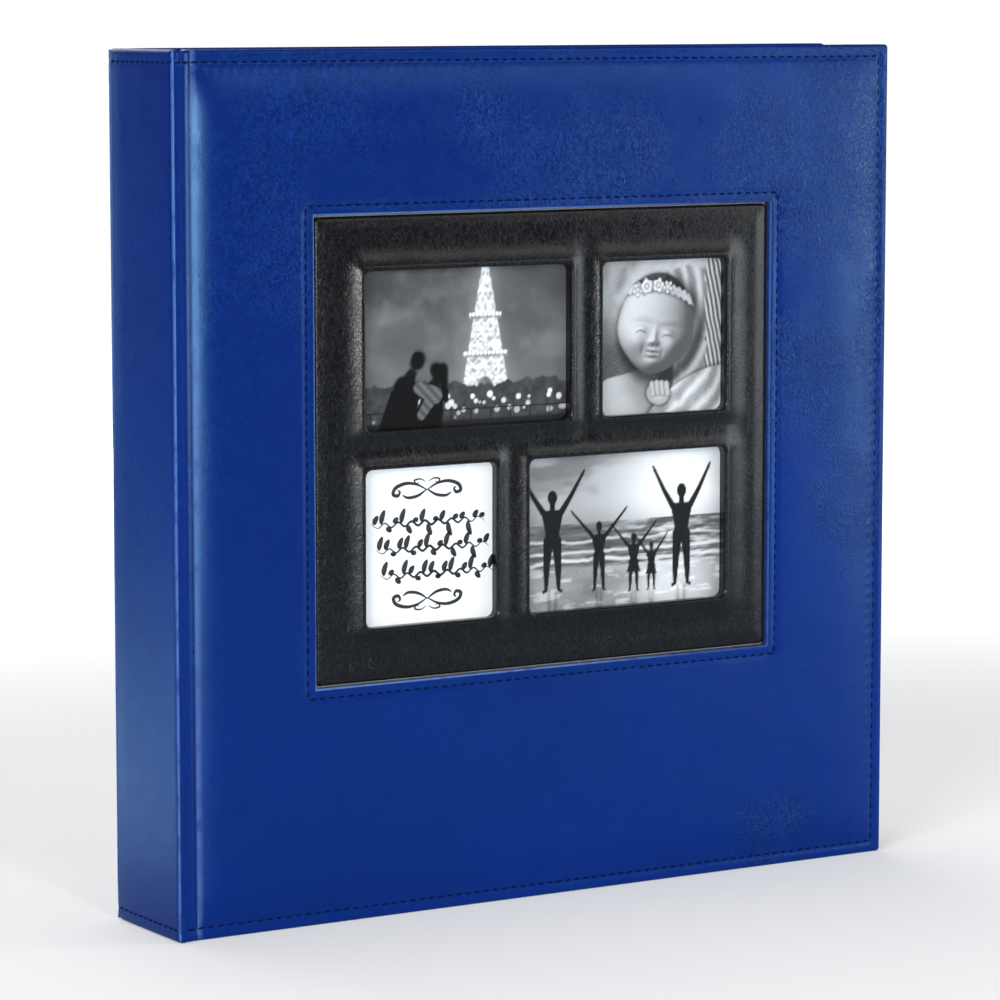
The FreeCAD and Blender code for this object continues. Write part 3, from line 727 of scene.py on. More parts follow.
def groove_height(u, v):
    """The strip of leather over the hinge: flat by the spine, dipping to the cover, and
    folding a little near both ends."""
    edge = min(v, TALL - v)
    height = SPINE_OUT + 0.05 - GROOVE_DIP * smooth(u, SPINE_EDGE_X - 1.0, COVER_X0 - 2.0)
    height -= GROOVE_DROP * smooth(u, COVER_X0 - 1.6, COVER_X0 + 0.9)
    height -= GROOVE_SEAM * bump(edge, sizes().stitch_inset, GROOVE_SEAM_WIDTH)
    fold = (FOLD + END_FOLD * (1 - smooth(edge, 4, 18))) * waver(u * 0.6, v, 4.5, 5.5)
    return height + fold * smooth(edge, 0.5, 3.0)


def build_groove():
    plan = (SPINE_X + 0.7, COVER_X0 + 0.9, 0.5, TALL - 0.5)
    bm = plan_grid(spread(plan[:2], 0.62), spread(plan[2:], 1.2))
    edges = open_edges(bm)
    raise_to(bm, groove_height)
    return closed(bm, add_rings(bm, edges, plan, [(0, 0.25, None), (0, 0.55, None)]))


def across_hinge(piece):
    """Bakes the piece's placement into its mesh; the piece lies over a hinge and rides on no body."""
    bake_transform(piece)


class ALBUM_OT_spine(bpy.types.Operator):
    """Make the spine's leather and the leather of the two hinge grooves"""
    bl_idname = "album.spine"
    bl_label = "Spine and Grooves"

    def execute(self, context):
        new_piece("spine_cover", build_spine(), SPINE_WAY, "spine_block", "blue_leather",
                  ("spine_leather",))
        for side, way in SIDES:
            strip = new_piece(f"{side}_hinge_leather", build_groove(), way, None,
                              "blue_leather", (f"{side}_groove",))
            across_hinge(strip)
        return {"FINISHED"}


# ------------------------------------------------------------------------------ stitching
THREAD_WIDTH = 0.85
THREAD_HEIGHT = 0.62
THREAD_LIFT = 0.16      # a stitch's middle above the leather


def add_stitch(bm, u, v, w, turn, slope=0.0):
    """One stitch: a short fat run of thread that dives into the leather at both ends."""
    album = sizes()
    grain = (Matrix.Translation((u, v, w)) @ Matrix.Rotation(turn, 4, "Z")
             @ Matrix.Rotation(slope, 4, "Y")
             @ Matrix.Diagonal((album.stitch_length, THREAD_WIDTH, THREAD_HEIGHT, 1)))
    bmesh.ops.create_uvsphere(bm, u_segments=album.stitch_sides, v_segments=5, radius=0.5,
                              matrix=grain @ Matrix.Rotation(math.pi / 2, 4, "Y"))


def stitch_run(bm, places, height):
    """Stitches a pitch apart from place to place, laid on the leather."""
    reach = sizes().stitch_length / 2
    for (u0, v0), (u1, v1) in zip(places, places[1:]):
        count = max(1, round(math.hypot(u1 - u0, v1 - v0) / sizes().stitch_pitch))
        turn = math.atan2(v1 - v0, u1 - u0)
        ahead_u, ahead_v = reach * math.cos(turn), reach * math.sin(turn)
        for number in range(count):
            t = (number + 0.5) / count
            u, v = u0 + (u1 - u0) * t, v0 + (v1 - v0) * t
            climb = height(u + ahead_u, v + ahead_v) - height(u - ahead_u, v - ahead_v)
            tilt = 0.05 * math.sin(number * 2.3)
            add_stitch(bm, u, v, height(u, v) + THREAD_LIFT, turn + tilt,
                       -math.atan2(climb, 2 * reach))


def border_stitches(front):
    inset = sizes().stitch_inset
    foot, head, fore, start = inset, TALL - inset, FORE_X - inset, COVER_X0 + 1.2
    bm = bmesh.new()
    stitch_run(bm, [(start, head), (fore, head), (fore, foot), (start, foot)],
               lambda u, v: cover_height(min(max(u, COVER_X0), FORE_X), v, front))
    return bm


def panel_stitches():
    u0, u1, v0, v1 = outset(PANEL_PLAN, sizes().panel_stitch_gap)
    bm = bmesh.new()
    stitch_run(bm, [(u0, v0), (u1, v0), (u1, v1), (u0, v1), (u0, v0)],
               lambda u, v: cover_height(u, v, True))
    return bm


def end_stitches(start, end, height):
    """A row near the head and one near the foot."""
    bm = bmesh.new()
    for v in (sizes().stitch_inset, TALL - sizes().stitch_inset):
        stitch_run(bm, [(start, v), (end, v)], height)
    return bm


class ALBUM_OT_stitching(bpy.types.Operator):
    """Sew the rows of stitches on the covers, the spine and round the window panel"""
    bl_idname = "album.stitching"
    bl_label = "Stitching"

    def execute(self, context):
        reach = SPINE_OUT - 1.2
        for name, row, way, body, node in (
                ("front_border_stitches", border_stitches(True), FRONT_WAY, "front_cover",
                 "front_stitching"),
                ("rear_border_stitches", border_stitches(False), REAR_WAY, "rear_cover",
                 "rear_stitching"),
                ("panel_stitches", panel_stitches(), FRONT_WAY, "front_cover", "panel_stitching"),
                ("spine_stitches", end_stitches(-reach, reach, spine_height), SPINE_WAY,
                 "spine_block", "spine_stitching")):
            new_piece(name, row, way, body, "thread", (node,))
        for side, way in SIDES:
            row = end_stitches(SPINE_X + 1.0, COVER_X0 + 0.6, groove_height)
            across_hinge(new_piece(f"{side}_hinge_stitches", row, way, None, "thread"))
        return {"FINISHED"}


# ------------------------------------------------------------------------------ window frame
FRAME_RADIUS, FRAME_CORNER = 1.1, 1.6
WINDOW_RADIUS, WINDOW_CORNER = 1.0, 3.2
FRAME_PADDING = 0.65    # between the windows, and how far it sinks at the frame's edge
FRAME_SINK = 0.55
FRAME_SLACK, FINE_FRAME_SLACK = 0.10, 0.05


def window_outlines():
    """Each opening's outline, from the picture card behind it."""
    return [outset((x0, x1, z0, z1), -sizes().picture_lap)
            for x0, x1, _, _, z0, z1 in PICTURE_BOXES]


def frame_height(u, v, windows):
    album = sizes()
    swell = 0.0
    for window in windows:
        away = (outside_distance(u, v, window) - WINDOW_RADIUS) / album.frame_rim_width
        swell += max(1 - max(away, 0.0), 0.0) ** 2
    height = FRAME_BOARD_OUT + FRAME_PADDING + album.frame_rim_rise * swell
    height -= FRAME_SINK * (1 - smooth(-outside_distance(u, v, PANEL_PLAN), 0.5, 6.0))
    return (height + FRAME_SLACK * waver(u, v, 26.0, 2.9)
            + FINE_FRAME_SLACK * waver(u, v, 9.0, 6.3))


def build_frame():
    step = sizes().mesh_step
    windows = window_outlines()
    inner = outset(PANEL_PLAN, -FRAME_RADIUS)
    lips = [outset(window, WINDOW_RADIUS) for window in windows]
    bm = plan_grid(spread(sorted({*inner[:2]} | {u for lip in lips for u in lip[:2]}), step),
                   spread(sorted({*inner[2:]} | {v for lip in lips for v in lip[2:]}), step))
    cut_openings(bm, lips)
    rims = [(loop_on(bm, lip), lip, WINDOW_CORNER, rounded_steps(WINDOW_RADIUS, 3, -1),
             -WINDOW_RADIUS) for lip in lips]
    rims.insert(0, (loop_on(bm, inner), inner, FRAME_CORNER, rounded_steps(FRAME_RADIUS),
                    FRAME_RADIUS))
    for edges, outline, corner, _, _ in rims:
        round_corners({vert for edge in edges for vert in edge.verts}, outline, corner)
    raise_to(bm, frame_height, windows)
    ends = []
    for edges, outline, _, steps, outward in rims:
        ends += add_rings(bm, edges, outline, steps + [(outward, None, FRAME_BACK)])
    return closed(bm, ends, pierced=True)


class ALBUM_OT_frame(bpy.types.Operator):
    """Make the black padded frame with its four windows"""
    bl_idname = "album.frame"
    bl_label = "Window Frame"

    def execute(self, context):
        padded_frame = new_piece("window_frame_leather", build_frame(), FRONT_WAY, "front_cover",
                                 "black_leather", ("frame_leather", "frame_foam", "frame_board"))
        return {"FINISHED"}


# ------------------------------------------------------------------------------ pictures
def soft_step(value, start, end):
    t = np.clip((value - start) / (end - start), 0, 1)
    return t * t * (3 - 2 * t)


def lattice_noise(u, v, seed):
    """Smooth noise from 0 to 1 on a unit lattice."""
    u0, v0 = np.floor(u), np.floor(v)
    fu, fv = u - u0, v - v0
    fu, fv = fu * fu * (3 - 2 * fu), fv * fv * (3 - 2 * fv)

    def corner(i, j):
        wave = np.sin((u0 + i) * 127.1 + (v0 + j) * 311.7 + seed * 74.7) * 43758.5453
        return wave - np.floor(wave)

    low = corner(0, 0) * (1 - fu) + corner(1, 0) * fu
    high = corner(0, 1) * (1 - fu) + corner(1, 1) * fu
    return low * (1 - fv) + high * fv


def cloudy(u, v, scale, seed, octaves=4):
    total, weight = 0, 0
    for octave in range(octaves):
        share = 0.5 ** octave
        total = total + share * lattice_noise(u * 2 ** octave / scale, v * 2 ** octave / scale,
                                              seed + octave)
        weight += share
    return total / weight


def limb(u, v, start, end, wide, narrow=None):
    """Distance to a tapered limb from start to end."""
    narrow = wide if narrow is None else narrow
    du, dv = end[0] - start[0], end[1] - start[1]
    t = np.clip(((u - start[0]) * du + (v - start[1]) * dv) / (du * du + dv * dv), 0, 1)
    return np.hypot(u - start[0] - du * t, v - start[1] - dv * t) - (wide + (narrow - wide) * t)


def limbs(u, v, *runs):
    """Distance to the nearest of several limbs."""
    return functools.reduce(np.minimum, [limb(u, v, *run) for run in runs])


def oval(u, v, centre, half_u, half_v, turn=0.0):
    """Roughly the distance to an oval's edge."""
    cos, sin = math.cos(turn), math.sin(turn)
    x = (u - centre[0]) * cos + (v - centre[1]) * sin
    y = -(u - centre[0]) * sin + (v - centre[1]) * cos
    return (np.hypot(x / half_u, y / half_v) - 1) * min(half_u, half_v)


def laid_over(tone, shade, distance, softness=0.5):
    """Lays a shade over the tone wherever the distance is negative."""
    cover = 1 - soft_step(distance, -softness / 2, softness / 2)
    return tone * (1 - cover) + shade * cover


def night_view(u, v):
    """A tower of lights over a promenade at night, with two people looking on."""
    tone = 0.055 + 0.05 * soft_step(v, 30, -10) + 0.11 * cloudy(u + v * 0.7, v * 2.2, 26, 3) ** 2
    tone = tone + 0.05 * soft_step(cloudy(u, v, 14, 9), 0.5, 0.8)
    half = 1.5 + 0.19 * (30.5 - v)
    middle = 9.5
    off = np.abs(u - middle)
    tone = tone + np.exp(-np.maximum(off - half, 0) / 4.0) * 0.08 * soft_step(v, -26, -12)
    floor_line = -20.0
    lamps = lattice_noise(u / 1.2, v / 1.2, 21) ** 2
    storeys = 0.5 + 0.5 * np.cos(v * 2 * np.pi / 4.2)
    trusses = functools.reduce(np.minimum, [
        np.abs(((u - middle) / half * 1.5 + lean * v / 5.0) % 1 - 0.5) for lean in (1, -1)])
    lit = 0.34 + 0.75 * lamps + 0.25 * storeys ** 6 + 0.35 * soft_step(trusses, 0.18, 0.02)
    tower = np.maximum(off - half, floor_line - v)
    tone = laid_over(tone, np.clip(lit, 0, 1), tower, 0.8)
    for deck, wide in ((11.5, 7.2), (-3.5, 10.2)):
        ledge = np.maximum(np.abs(v - deck) - 1.1, off - wide)
        bulbs = np.hypot((u - middle + 0.9) % 1.8 - 0.9, v - deck - 0.5) - 0.75
        tone = laid_over(tone, 0.22 + 0.3 * lamps, ledge, 0.6)
        tone = laid_over(tone, 0.97, np.maximum(bulbs, off - wide), 0.5)
    gate = oval(u, v, (middle, floor_line), 4.4, 8.0)
    tone = laid_over(tone, 0.10 + 0.25 * lamps, gate, 0.8)
    town = -16.5 + 3.0 * lattice_noise(u / 4.5, u * 0, 5) + 1.5 * lattice_noise(u / 1.5, u * 0, 8)
    tone = laid_over(tone, 0.035 + 0.04 * lattice_noise(u / 2, v / 2, 13), v - town, 0.6)
    for index in range(46):
        place = math.sin(index * 12.9898) * 43758.5453 % 1
        other = math.sin(index * 78.233) * 43758.5453 % 1
        size = 0.45 + 0.9 * (math.sin(index * 3.7) * 43.7 % 1)
        spot = np.hypot(u - (-46 + 92 * place), v - (-28 + 9 * other)) - size
        tone = laid_over(tone, 0.30 + 0.6 * other, spot, 0.5)
    tone = laid_over(tone, 0.012, np.abs(v + 24.5) - 0.35, 0.3)
    tone = laid_over(tone, 0.012, np.maximum(np.abs((u + 1.5) % 9 - 4.5) - 0.25, v + 24.5), 0.3)
    tone = laid_over(tone, 0.02, v + 28.5, 0.5)
    man = limbs(u, v, ((-26.5, -16), (-31.0, -34), 6.0, 8.5),
                ((-23.5, -9.5), (-27.0, -16), 2.2, 5.0), ((-24, -14), (-14.5, -20.5), 2.5, 1.9))
    man = np.minimum(man, oval(u, v, (-21.0, -4.8), 3.5, 4.5, -0.35))
    woman = limbs(u, v, ((-14.0, -17), (-17.5, -34), 4.4, 7.5),
                  ((-12.5, -12), (-14.0, -17), 1.8, 3.6), ((-10.2, -8.6), (-8.6, -20.0), 2.9, 1.3))
    woman = np.minimum(woman, oval(u, v, (-12.2, -9.2), 3.3, 4.1, 0.45))
    glow = 0.03 + 0.10 * lattice_noise(u / 2.1, v / 2.1, 15) ** 2
    for person in (man, woman):
        tone = laid_over(tone, 0.006, person, 0.4)
        tone = laid_over(tone, glow, np.maximum(np.abs(person + 0.35) - 0.25, u * 0 - 16 - v), 0.5)
    shawl = limbs(u, v, ((-20.5, -15.5), (-13.5, -18.5), 2.4, 3.4),
                  ((-14.5, -19), (-19.5, -26), 2.6, 1.8))
    drape = 0.07 + 0.09 * (0.5 + 0.5 * np.cos((u + v) * 1.5))
    return laid_over(tone, drape, shawl, 0.8)


def relief_shade(height, u, v, light):
    """Soft shade of a modelled surface, on the picture's own grid."""
    slope_v, slope_u = np.gradient(height, abs(v[1, 0] - v[0, 0]), abs(u[0, 1] - u[0, 0]))
    length = np.sqrt(slope_u ** 2 + slope_v ** 2 + 1)
    return np.clip((-slope_u * light[0] - slope_v * light[1] + light[2]) / length, 0, 1)


HEAD_WIDTH, HEAD_HEIGHT = 18.0, 20.0
# a lump's middle, widths and rise, in parts of the head: cheeks, eye hollows, lids, brows,
# nostril wings and the folds beside the mouth; then nose, lips, chin and the dips between
FACE_PAIRS = [
    (0.50, -0.42, 0.27, 0.24, 2.6), (0.36, -0.10, 0.22, 0.12, -1.2),
    (0.36, -0.13, 0.16, 0.085, 1.7), (0.36, 0.06, 0.24, 0.07, 0.5),
    (0.10, -0.385, 0.065, 0.045, 0.7), (0.26, -0.56, 0.05, 0.10, -0.45)]
FACE_MIDDLE = [
    (0, -0.24, 0.075, 0.14, 0.9), (0, -0.36, 0.10, 0.07, 1.8), (0, -0.46, 0.03, 0.035, -0.35),
    (0, -0.535, 0.13, 0.035, 0.9), (0, -0.63, 0.11, 0.04, 1.0), (0, -0.582, 0.15, 0.014, -1.0),
    (0, -0.82, 0.22, 0.12, 1.6), (0, -0.70, 0.16, 0.03, -0.5)]


def sleeping_baby(u, v):
    """A baby asleep in a knitted wrap, of nobody in particular."""
    turn = math.radians(-10)
    cos, sin = math.cos(turn), math.sin(turn)
    x = ((u + 1.5) * cos + (v - 5.0) * sin) / HEAD_WIDTH
    y = (-(u + 1.5) * sin + (v - 5.0) * cos) / HEAD_HEIGHT
    wide = 0.97 + 0.06 * np.exp(-((y + 0.30) / 0.35) ** 2) - 0.10 * soft_step(y, -0.5, -1.0)
    rim = np.hypot(x / wide, y)
    height = 17.0 * np.sqrt(np.clip(1 - rim ** 2, 0, None)) ** 0.85

    def line(away, thick, middle, half):
        """Distance to a short soft line."""
        return np.maximum(np.abs(away) - thick, np.abs(x - middle) - half) * HEAD_WIDTH

    lumps = [(side * cx, *rest) for side in (-1, 1) for cx, *rest in FACE_PAIRS] + FACE_MIDDLE
    for cx, cy, wx, wy, rise in lumps:
        height = height + rise * np.exp(-((x - cx) / wx) ** 2 - ((y - cy) / wy) ** 2)
    height = height + 0.06 * cloudy(u, v, 1.1, 31)
    face = 0.09 + 0.60 * relief_shade(height, u, v, (-0.50, 0.40, 0.70)) ** 1.4
    for side in (-1, 1):
        eye = side * 0.36
        lash = line(y + 0.19 + 2.25 * (x - eye) ** 2, 0.011, eye, 0.15)
        crease = line(y + 0.075 + 1.2 * (x - eye) ** 2, 0.006, eye, 0.13)
        brow = line(y - 0.10 + 1.1 * (x - side * 0.34) ** 2, 0.014, side * 0.35, 0.15)
        nostril = oval(x, y, (side * 0.05, -0.405), 0.026, 0.014) * HEAD_WIDTH
        face = laid_over(face, 0.10, lash, 0.5)
        face = laid_over(face, face * 0.70, crease, 0.7)
        face = laid_over(face, face * 0.80, brow, 1.4)
        face = laid_over(face, 0.14, nostril, 0.4)
    face = laid_over(face, 0.14, line(y + 0.583 - 0.8 * x ** 2, 0.007, 0, 0.14), 0.4)
    knit = 0.5 + 0.5 * np.cos(u * 3.4 + np.sin(v * 2.2)) * np.cos(v * 3.4 + np.sin(u * 2.2))
    folds = cloudy(u * 0.9 + v * 0.35, v * 0.3 - u * 0.25, 9, 17)
    reach = np.hypot(u + 9, (v - 16) * 0.8)
    ridges = (0.5 + 0.5 * np.cos(reach * 1.05 + 4.5 * folds)) ** 1.5
    weave = cloudy(u * 0.8 - v * 0.4, v * 0.5 + u * 0.2, 8, 43)
    tone = 0.10 + 0.62 * weave * soft_step(v - 0.4 * u, 2, 26) + 0.08 * (knit - 0.5)
    wrap = np.clip(0.10 + 0.26 * folds + 0.34 * ridges + 0.10 * (knit - 0.5), 0, 1)
    edge = 8.0 - 0.020 * (v + 8) ** 2 + 1.5 * np.sin(v / 5.0)
    tone = laid_over(tone, wrap, np.maximum(edge - u, v - 28 + 0.25 * np.abs(u - 14)), 1.5)
    strands = (0.5 + 0.5 * np.cos((u + 0.22 * v) * 3.0 + 2.5 * cloudy(u, v, 6, 47))) ** 1.6
    fringe = 21.5 - u + 2.0 * lattice_noise(v / 2.0, v * 0, 53)
    tone = laid_over(tone, 0.06 + 0.60 * strands, fringe, 1.5)
    shoulder = limb(u, v, (-20, -27), (-8, -22), 12.0, 9.0)
    skin = 0.44 - 0.28 * soft_step(u + v * 0.6, -34, -18) + 0.10 * cloudy(u, v, 7, 63)
    tone = laid_over(tone, skin, shoulder, 1.0)
    tone = laid_over(tone, tone * 0.25, oval(u, v, (0.5, 2.5), 21.0, 22.5, turn), 5.0)
    tone = laid_over(tone, face, (rim - 1) * HEAD_WIDTH, 0.7)
    hair = 0.46 + 0.20 * (1 - x ** 2) + 0.03 * lattice_noise(x * 22, y * 6, 67)
    lock = 0.02 + 0.09 * lattice_noise(x * 30, y * 5, 71) * soft_step(x, 0.6, -0.6)
    tone = laid_over(tone, lock, np.maximum(hair - y, rim - 1.02) * HEAD_WIDTH, 1.0)
    band = np.abs(y - 0.50 - 0.24 * (1 - x ** 2)) - 0.085
    lace = 0.34 + 0.44 * knit * cloudy(u, v, 2.5, 51, 2) + 0.10 * soft_step(x, 0.8, -0.8)
    tone = laid_over(tone, tone * 0.45, np.maximum(band - 0.05, rim - 1.02) * HEAD_WIDTH, 1.6)
    tone = laid_over(tone, lace, np.maximum(band - 0.02 * np.cos(x * 40), rim - 1.04) * HEAD_WIDTH, 0.8)
    for cx, cy, size in ((-0.62, 0.60, 0.11), (-0.40, 0.70, 0.15), (-0.10, 0.76, 0.13),
                         (0.16, 0.76, 0.10)):
        petals = np.hypot(x - cx, y - cy)
        angle = np.arctan2(y - cy, x - cx)
        flower = (petals - size - 0.03 * np.cos(5 * angle + cx * 9)) * HEAD_WIDTH
        tone = laid_over(tone, tone * 0.4, flower - 0.5, 1.0)
        tone = laid_over(tone, 0.58 + 0.22 * np.cos(petals * 60), flower, 0.6)
    hem = oval(u, v, (19, -31), 30, 15, 0.42)
    cloth = np.clip(0.16 + 0.30 * folds + 0.36 * ridges + 0.14 * (knit - 0.5), 0, 1)
    tone = laid_over(tone, tone * 0.4, hem - 1.0, 2.0)
    tone = laid_over(tone, cloth, hem, 1.0)
    fist = oval(u, v, (-0.6, -22.8), 5.6, 4.6, -0.2)
    tone = laid_over(tone, tone * 0.4, fist - 0.8, 1.4)
    tone = laid_over(tone, np.clip(0.36 - 0.05 * fist, 0, 0.6), fist, 0.8)
    for index in range(4):
        start = (-3.6 + index * 2.3, -18.6 - 0.35 * abs(index - 1.3))
        finger = limb(u, v, start, (start[0] + 0.6, start[1] - 4.0), 1.25, 1.2)
        tone = laid_over(tone, tone * 0.5, finger - 0.3, 0.6)
        tone = laid_over(tone, 0.34 - 0.16 * finger, finger, 0.5)
    return tone


def raised_figure(u, v, foot, tall, spread_arms, skirt):
    """Distance to a person standing with both arms raised."""
    x, y = (u - foot[0]) / tall, (v - foot[1]) / tall
    chest = np.maximum(np.abs(x) - 0.062 - 0.24 * (y - 0.46), np.maximum(y - 0.675, 0.44 - y))
    shape = np.minimum(oval(x, y, (0, 0.775), 0.046, 0.060), chest)
    runs = [((0, 0.73), (0, 0.66), 0.024), ((0, 0.50), (0, 0.42), 0.062, 0.066)]
    for side in (-1, 1):
        elbow = (side * (0.11 + 0.10 * spread_arms), 0.78)
        hand = (side * (0.10 + 0.27 * spread_arms), 0.95)
        palm = (side * (0.10 + 0.30 * spread_arms), 0.985)
        knee = (side * 0.055, 0.215)
        runs += [((side * 0.085, 0.65), elbow, 0.029, 0.021), (elbow, hand, 0.021, 0.013),
                 (hand, palm, 0.016, 0.009), ((side * 0.038, 0.42), knee, 0.050, 0.032),
                 (knee, (side * 0.062, 0.02), 0.034, 0.018),
                 ((side * 0.062, 0.012), (side * 0.085, 0.0), 0.014)]
    shape = np.minimum(shape, limbs(x, y, *runs))
    if skirt:
        flare = np.maximum(np.abs(x) - 0.055 - (0.46 - y) * 0.35, np.maximum(y - 0.46, 0.27 - y))
        shape = np.minimum(shape, flare)
    return shape * tall


def beach_morning(u, v):
    """Five people with raised arms against a bright sea."""
    sun = np.hypot((u - 26) / 1.2, v - 15)
    tone = 0.30 + 0.58 * np.exp(-(sun / 22) ** 2)
    shadow = soft_step(cloudy(u * 0.5, v * 1.3, 13, 61), 0.40, 0.72) * soft_step(sun, 8, 38)
    tone = tone - 0.22 * shadow
    tone = tone + 0.10 * soft_step(v, 2, 12)
    horizon = 3.2
    swell = cloudy(u * 0.22, v * (1.0 + 0.05 * (horizon - v)), 1.6, 71, 3)
    glitter = np.exp(-((u - 24) / 22) ** 2)
    sea = 0.05 + 0.26 * swell ** 1.5 + 0.45 * glitter * soft_step(swell, 0.45, 0.8)
    tone = laid_over(tone, sea, v - horizon, 0.4)
    for level, depth in ((-5.0, 0.9), (-9.5, 1.1), (-13.0, 1.4)):
        surf = np.abs(v - level - 1.6 * lattice_noise(u / 11, u * 0 + level, 5)
                      - 0.5 * lattice_noise(u / 2.4, u * 0 + level, 7)) - depth * 0.5
        tone = laid_over(tone, 0.45 + 0.40 * swell, surf, 0.9)
    shore = -14.5 + 1.2 * lattice_noise(u / 15, u * 0, 3)
    wet = 0.12 + 0.26 * cloudy(u * 0.35, v, 5, 81) + 0.40 * np.exp(-((u - 24) / 22) ** 2)
    wet = wet + 0.25 * soft_step(cloudy(u * 0.6, v * 2.5, 4, 83), 0.55, 0.72)
    tone = laid_over(tone, wet, v - shore, 1.2)
    people = ((-33.5, -23.0, 48.0, 0.70, False), (-11.5, -24.0, 33.0, 1.0, False),
              (5.0, -25.5, 28.0, 0.95, True), (13.5, -25.5, 23.0, 0.8, True),
              (28.0, -24.5, 49.0, 0.60, False))
    for x, y, tall, arms, skirt in people:
        mirrored = raised_figure(u, 2 * y - v, (x, y), tall * 0.55, arms, skirt)
        tone = laid_over(tone, tone * 0.55, np.maximum(mirrored, v - y), 2.0)
        tone = laid_over(tone, 0.012, raised_figure(u, v, (x, y), tall, arms, skirt), 0.4)
    return tone


def plain_card(u, v):
    return 0.86 + 0.04 * cloudy(u, v, 20, 91)


def build_card(box, tone_of):
    """A picture card whose tones are stored on its mesh."""
    x0, x1, y0, y1, z0, z1 = box
    step = sizes().print_step
    columns, rows = spread([x0, x1], step), spread([z0, z1], step)
    bm = plan_grid(columns, rows)
    grid_u, grid_v = np.meshgrid(np.array(columns) - (x0 + x1) / 2, np.array(rows) - (z0 + z1) / 2)
    tones = np.clip(tone_of(grid_u, grid_v), 0, 1)
    layer = bm.verts.layers.float_color.new("tone")
    across, up = len(columns) - 1, len(rows) - 1
    for vert in bm.verts:
        vert.co.z = -y0
        column = round((vert.co.x - x0) / (x1 - x0) * across)
        row = round((vert.co.y - z0) / (z1 - z0) * up)
        vert[layer] = (*[float(tones[row, column])] * 3, 1)
    closed(bm, add_rings(bm, open_edges(bm), (x0, x1, z0, z1), [(0, None, -y1)]))
    for vert in bm.verts:
        if vert[layer][3] == 0:
            vert[layer] = (0.8, 0.8, 0.8, 1)
    return bm


def add_stroke(bm, points, width, height):
    """A flat pen stroke along smooth points, broad in its middle and fine at its ends."""
    path = []
    count = len(points)
    for index in range(count - 1):
        before = Vector(points[max(index - 1, 0)])
        start, end = Vector(points[index]), Vector(points[index + 1])
        after = Vector(points[min(index + 2, count - 1)])
        for part in range(8):
            t = part / 8
            path.append(0.5 * ((2 * start) + (end - before) * t
                               + (2 * before - 5 * start + 4 * end - after) * t ** 2
                               + (3 * start - before - 3 * end + after) * t ** 3))
    path.append(Vector(points[-1]))
    sides = []
    for index, place in enumerate(path):
        ahead = path[min(index + 1, len(path) - 1)] - path[max(index - 1, 0)]
        across = Vector((-ahead.y, ahead.x)).normalized()
        t = index / (len(path) - 1)
        half = width * (0.18 + 0.82 * math.sin(math.pi * t) ** 0.8) / 2
        sides.append([bm.verts.new((*(place + across * half * side), height))
                      for side in (-1, 1)])
    rails = []
    for (low, high), (next_low, next_high) in zip(sides, sides[1:]):
        rails.append(bm.edges.new((low, next_low)))
        rails.append(bm.edges.new((high, next_high)))
    bmesh.ops.bridge_loops(bm, edges=rails)


SCROLLS = (
    (((0.0, 0.0), (4.5, 2.3), (9.5, 3.0), (14.0, 1.6), (15.2, -0.8), (13.2, -1.6), (12.2, -0.2),
      (13.2, 0.7)), 1.5),
    (((0.0, 0.4), (4.0, -2.0), (8.5, -2.6), (11.0, -1.4)), 1.2),
    (((0.5, 3.2), (3.0, 4.4), (5.6, 4.0), (5.0, 2.8), (3.6, 3.1)), 0.7))


def pen_ornament(box):
    """Scrolls at the head and foot of the card, and three rows of leafy garlands."""
    x0, x1, y0, _, z0, z1 = box
    middle = Vector(((x0 + x1) / 2, (z0 + z1) / 2))
    height = -y0 + 0.03
    bm = bmesh.new()

    def stroke(points, width):
        add_stroke(bm, [(middle.x + u, middle.y + v) for u, v in points], width, height)

    for flip in (1, -1):
        for side in (1, -1):
            for points, width in SCROLLS:
                stroke([(side * u, flip * (21.0 + v)) for u, v in points], width)
    for row, level in enumerate((9.5, -0.5, -10.5)):
        first = -25.0 + 2.0 * row
        stroke([(first + step * 3.0, level - 1.2 + 0.9 * (-1) ** step) for step in range(18)], 1.0)
        for leaf in range(17):
            u = first + 1.5 + leaf * 3.0
            sign = -1 if leaf % 3 == 2 else 1
            tall = (3.4 + 2.2 * math.sin(leaf * 1.9 + row)) * sign
            base = level - 1.2 + 0.5 * sign
            stroke(((u, base), (u + 0.2, base + 0.45 * tall), (u + 1.5, base + tall)), 2.3)
    bm.normal_update()
    bmesh.ops.reverse_faces(bm, faces=[face for face in bm.faces if face.normal.z < 0])
    bmesh.ops.solidify(bm, geom=bm.faces[:], thickness=0.02)
    bmesh.ops.recalc_face_normals(bm, faces=bm.faces)
    return bm


class ALBUM_OT_pictures(bpy.types.Operator):
    """Print the four picture cards"""
    bl_idname = "album.pictures"
    bl_label = "Picture Cards"

    def execute(self, context):
        views = (night_view, sleeping_baby, plain_card, beach_morning)
        for number, (box, tone_of) in enumerate(zip(PICTURE_BOXES, views), 1):
            new_piece(f"picture_card_{number}", build_card(box, tone_of), FRONT_WAY,
                      "front_cover", "picture_card", (f"picture_{number}",))
        new_piece("picture_card_ornament", pen_ornament(PICTURE_BOXES[2]), FRONT_WAY,
                  "front_cover", "ink")
        return {"FINISHED"}


# ------------------------------------------------------------------------------ carried parts
CARRIED = {
    "leaf_card": ["leaf_"],
    "spacer_card": ["spacer_strips"],
    "lining_paper": ["front_lining", "rear_lining", "spine_lining", "front_flap", "rear_flap"],
    "grey_board": ["front_board", "rear_board", "spine_board", "frame_board"],
    "post_metal": ["post_barrels", "post_screws"],
    "clear_film": ["window_film"],
}


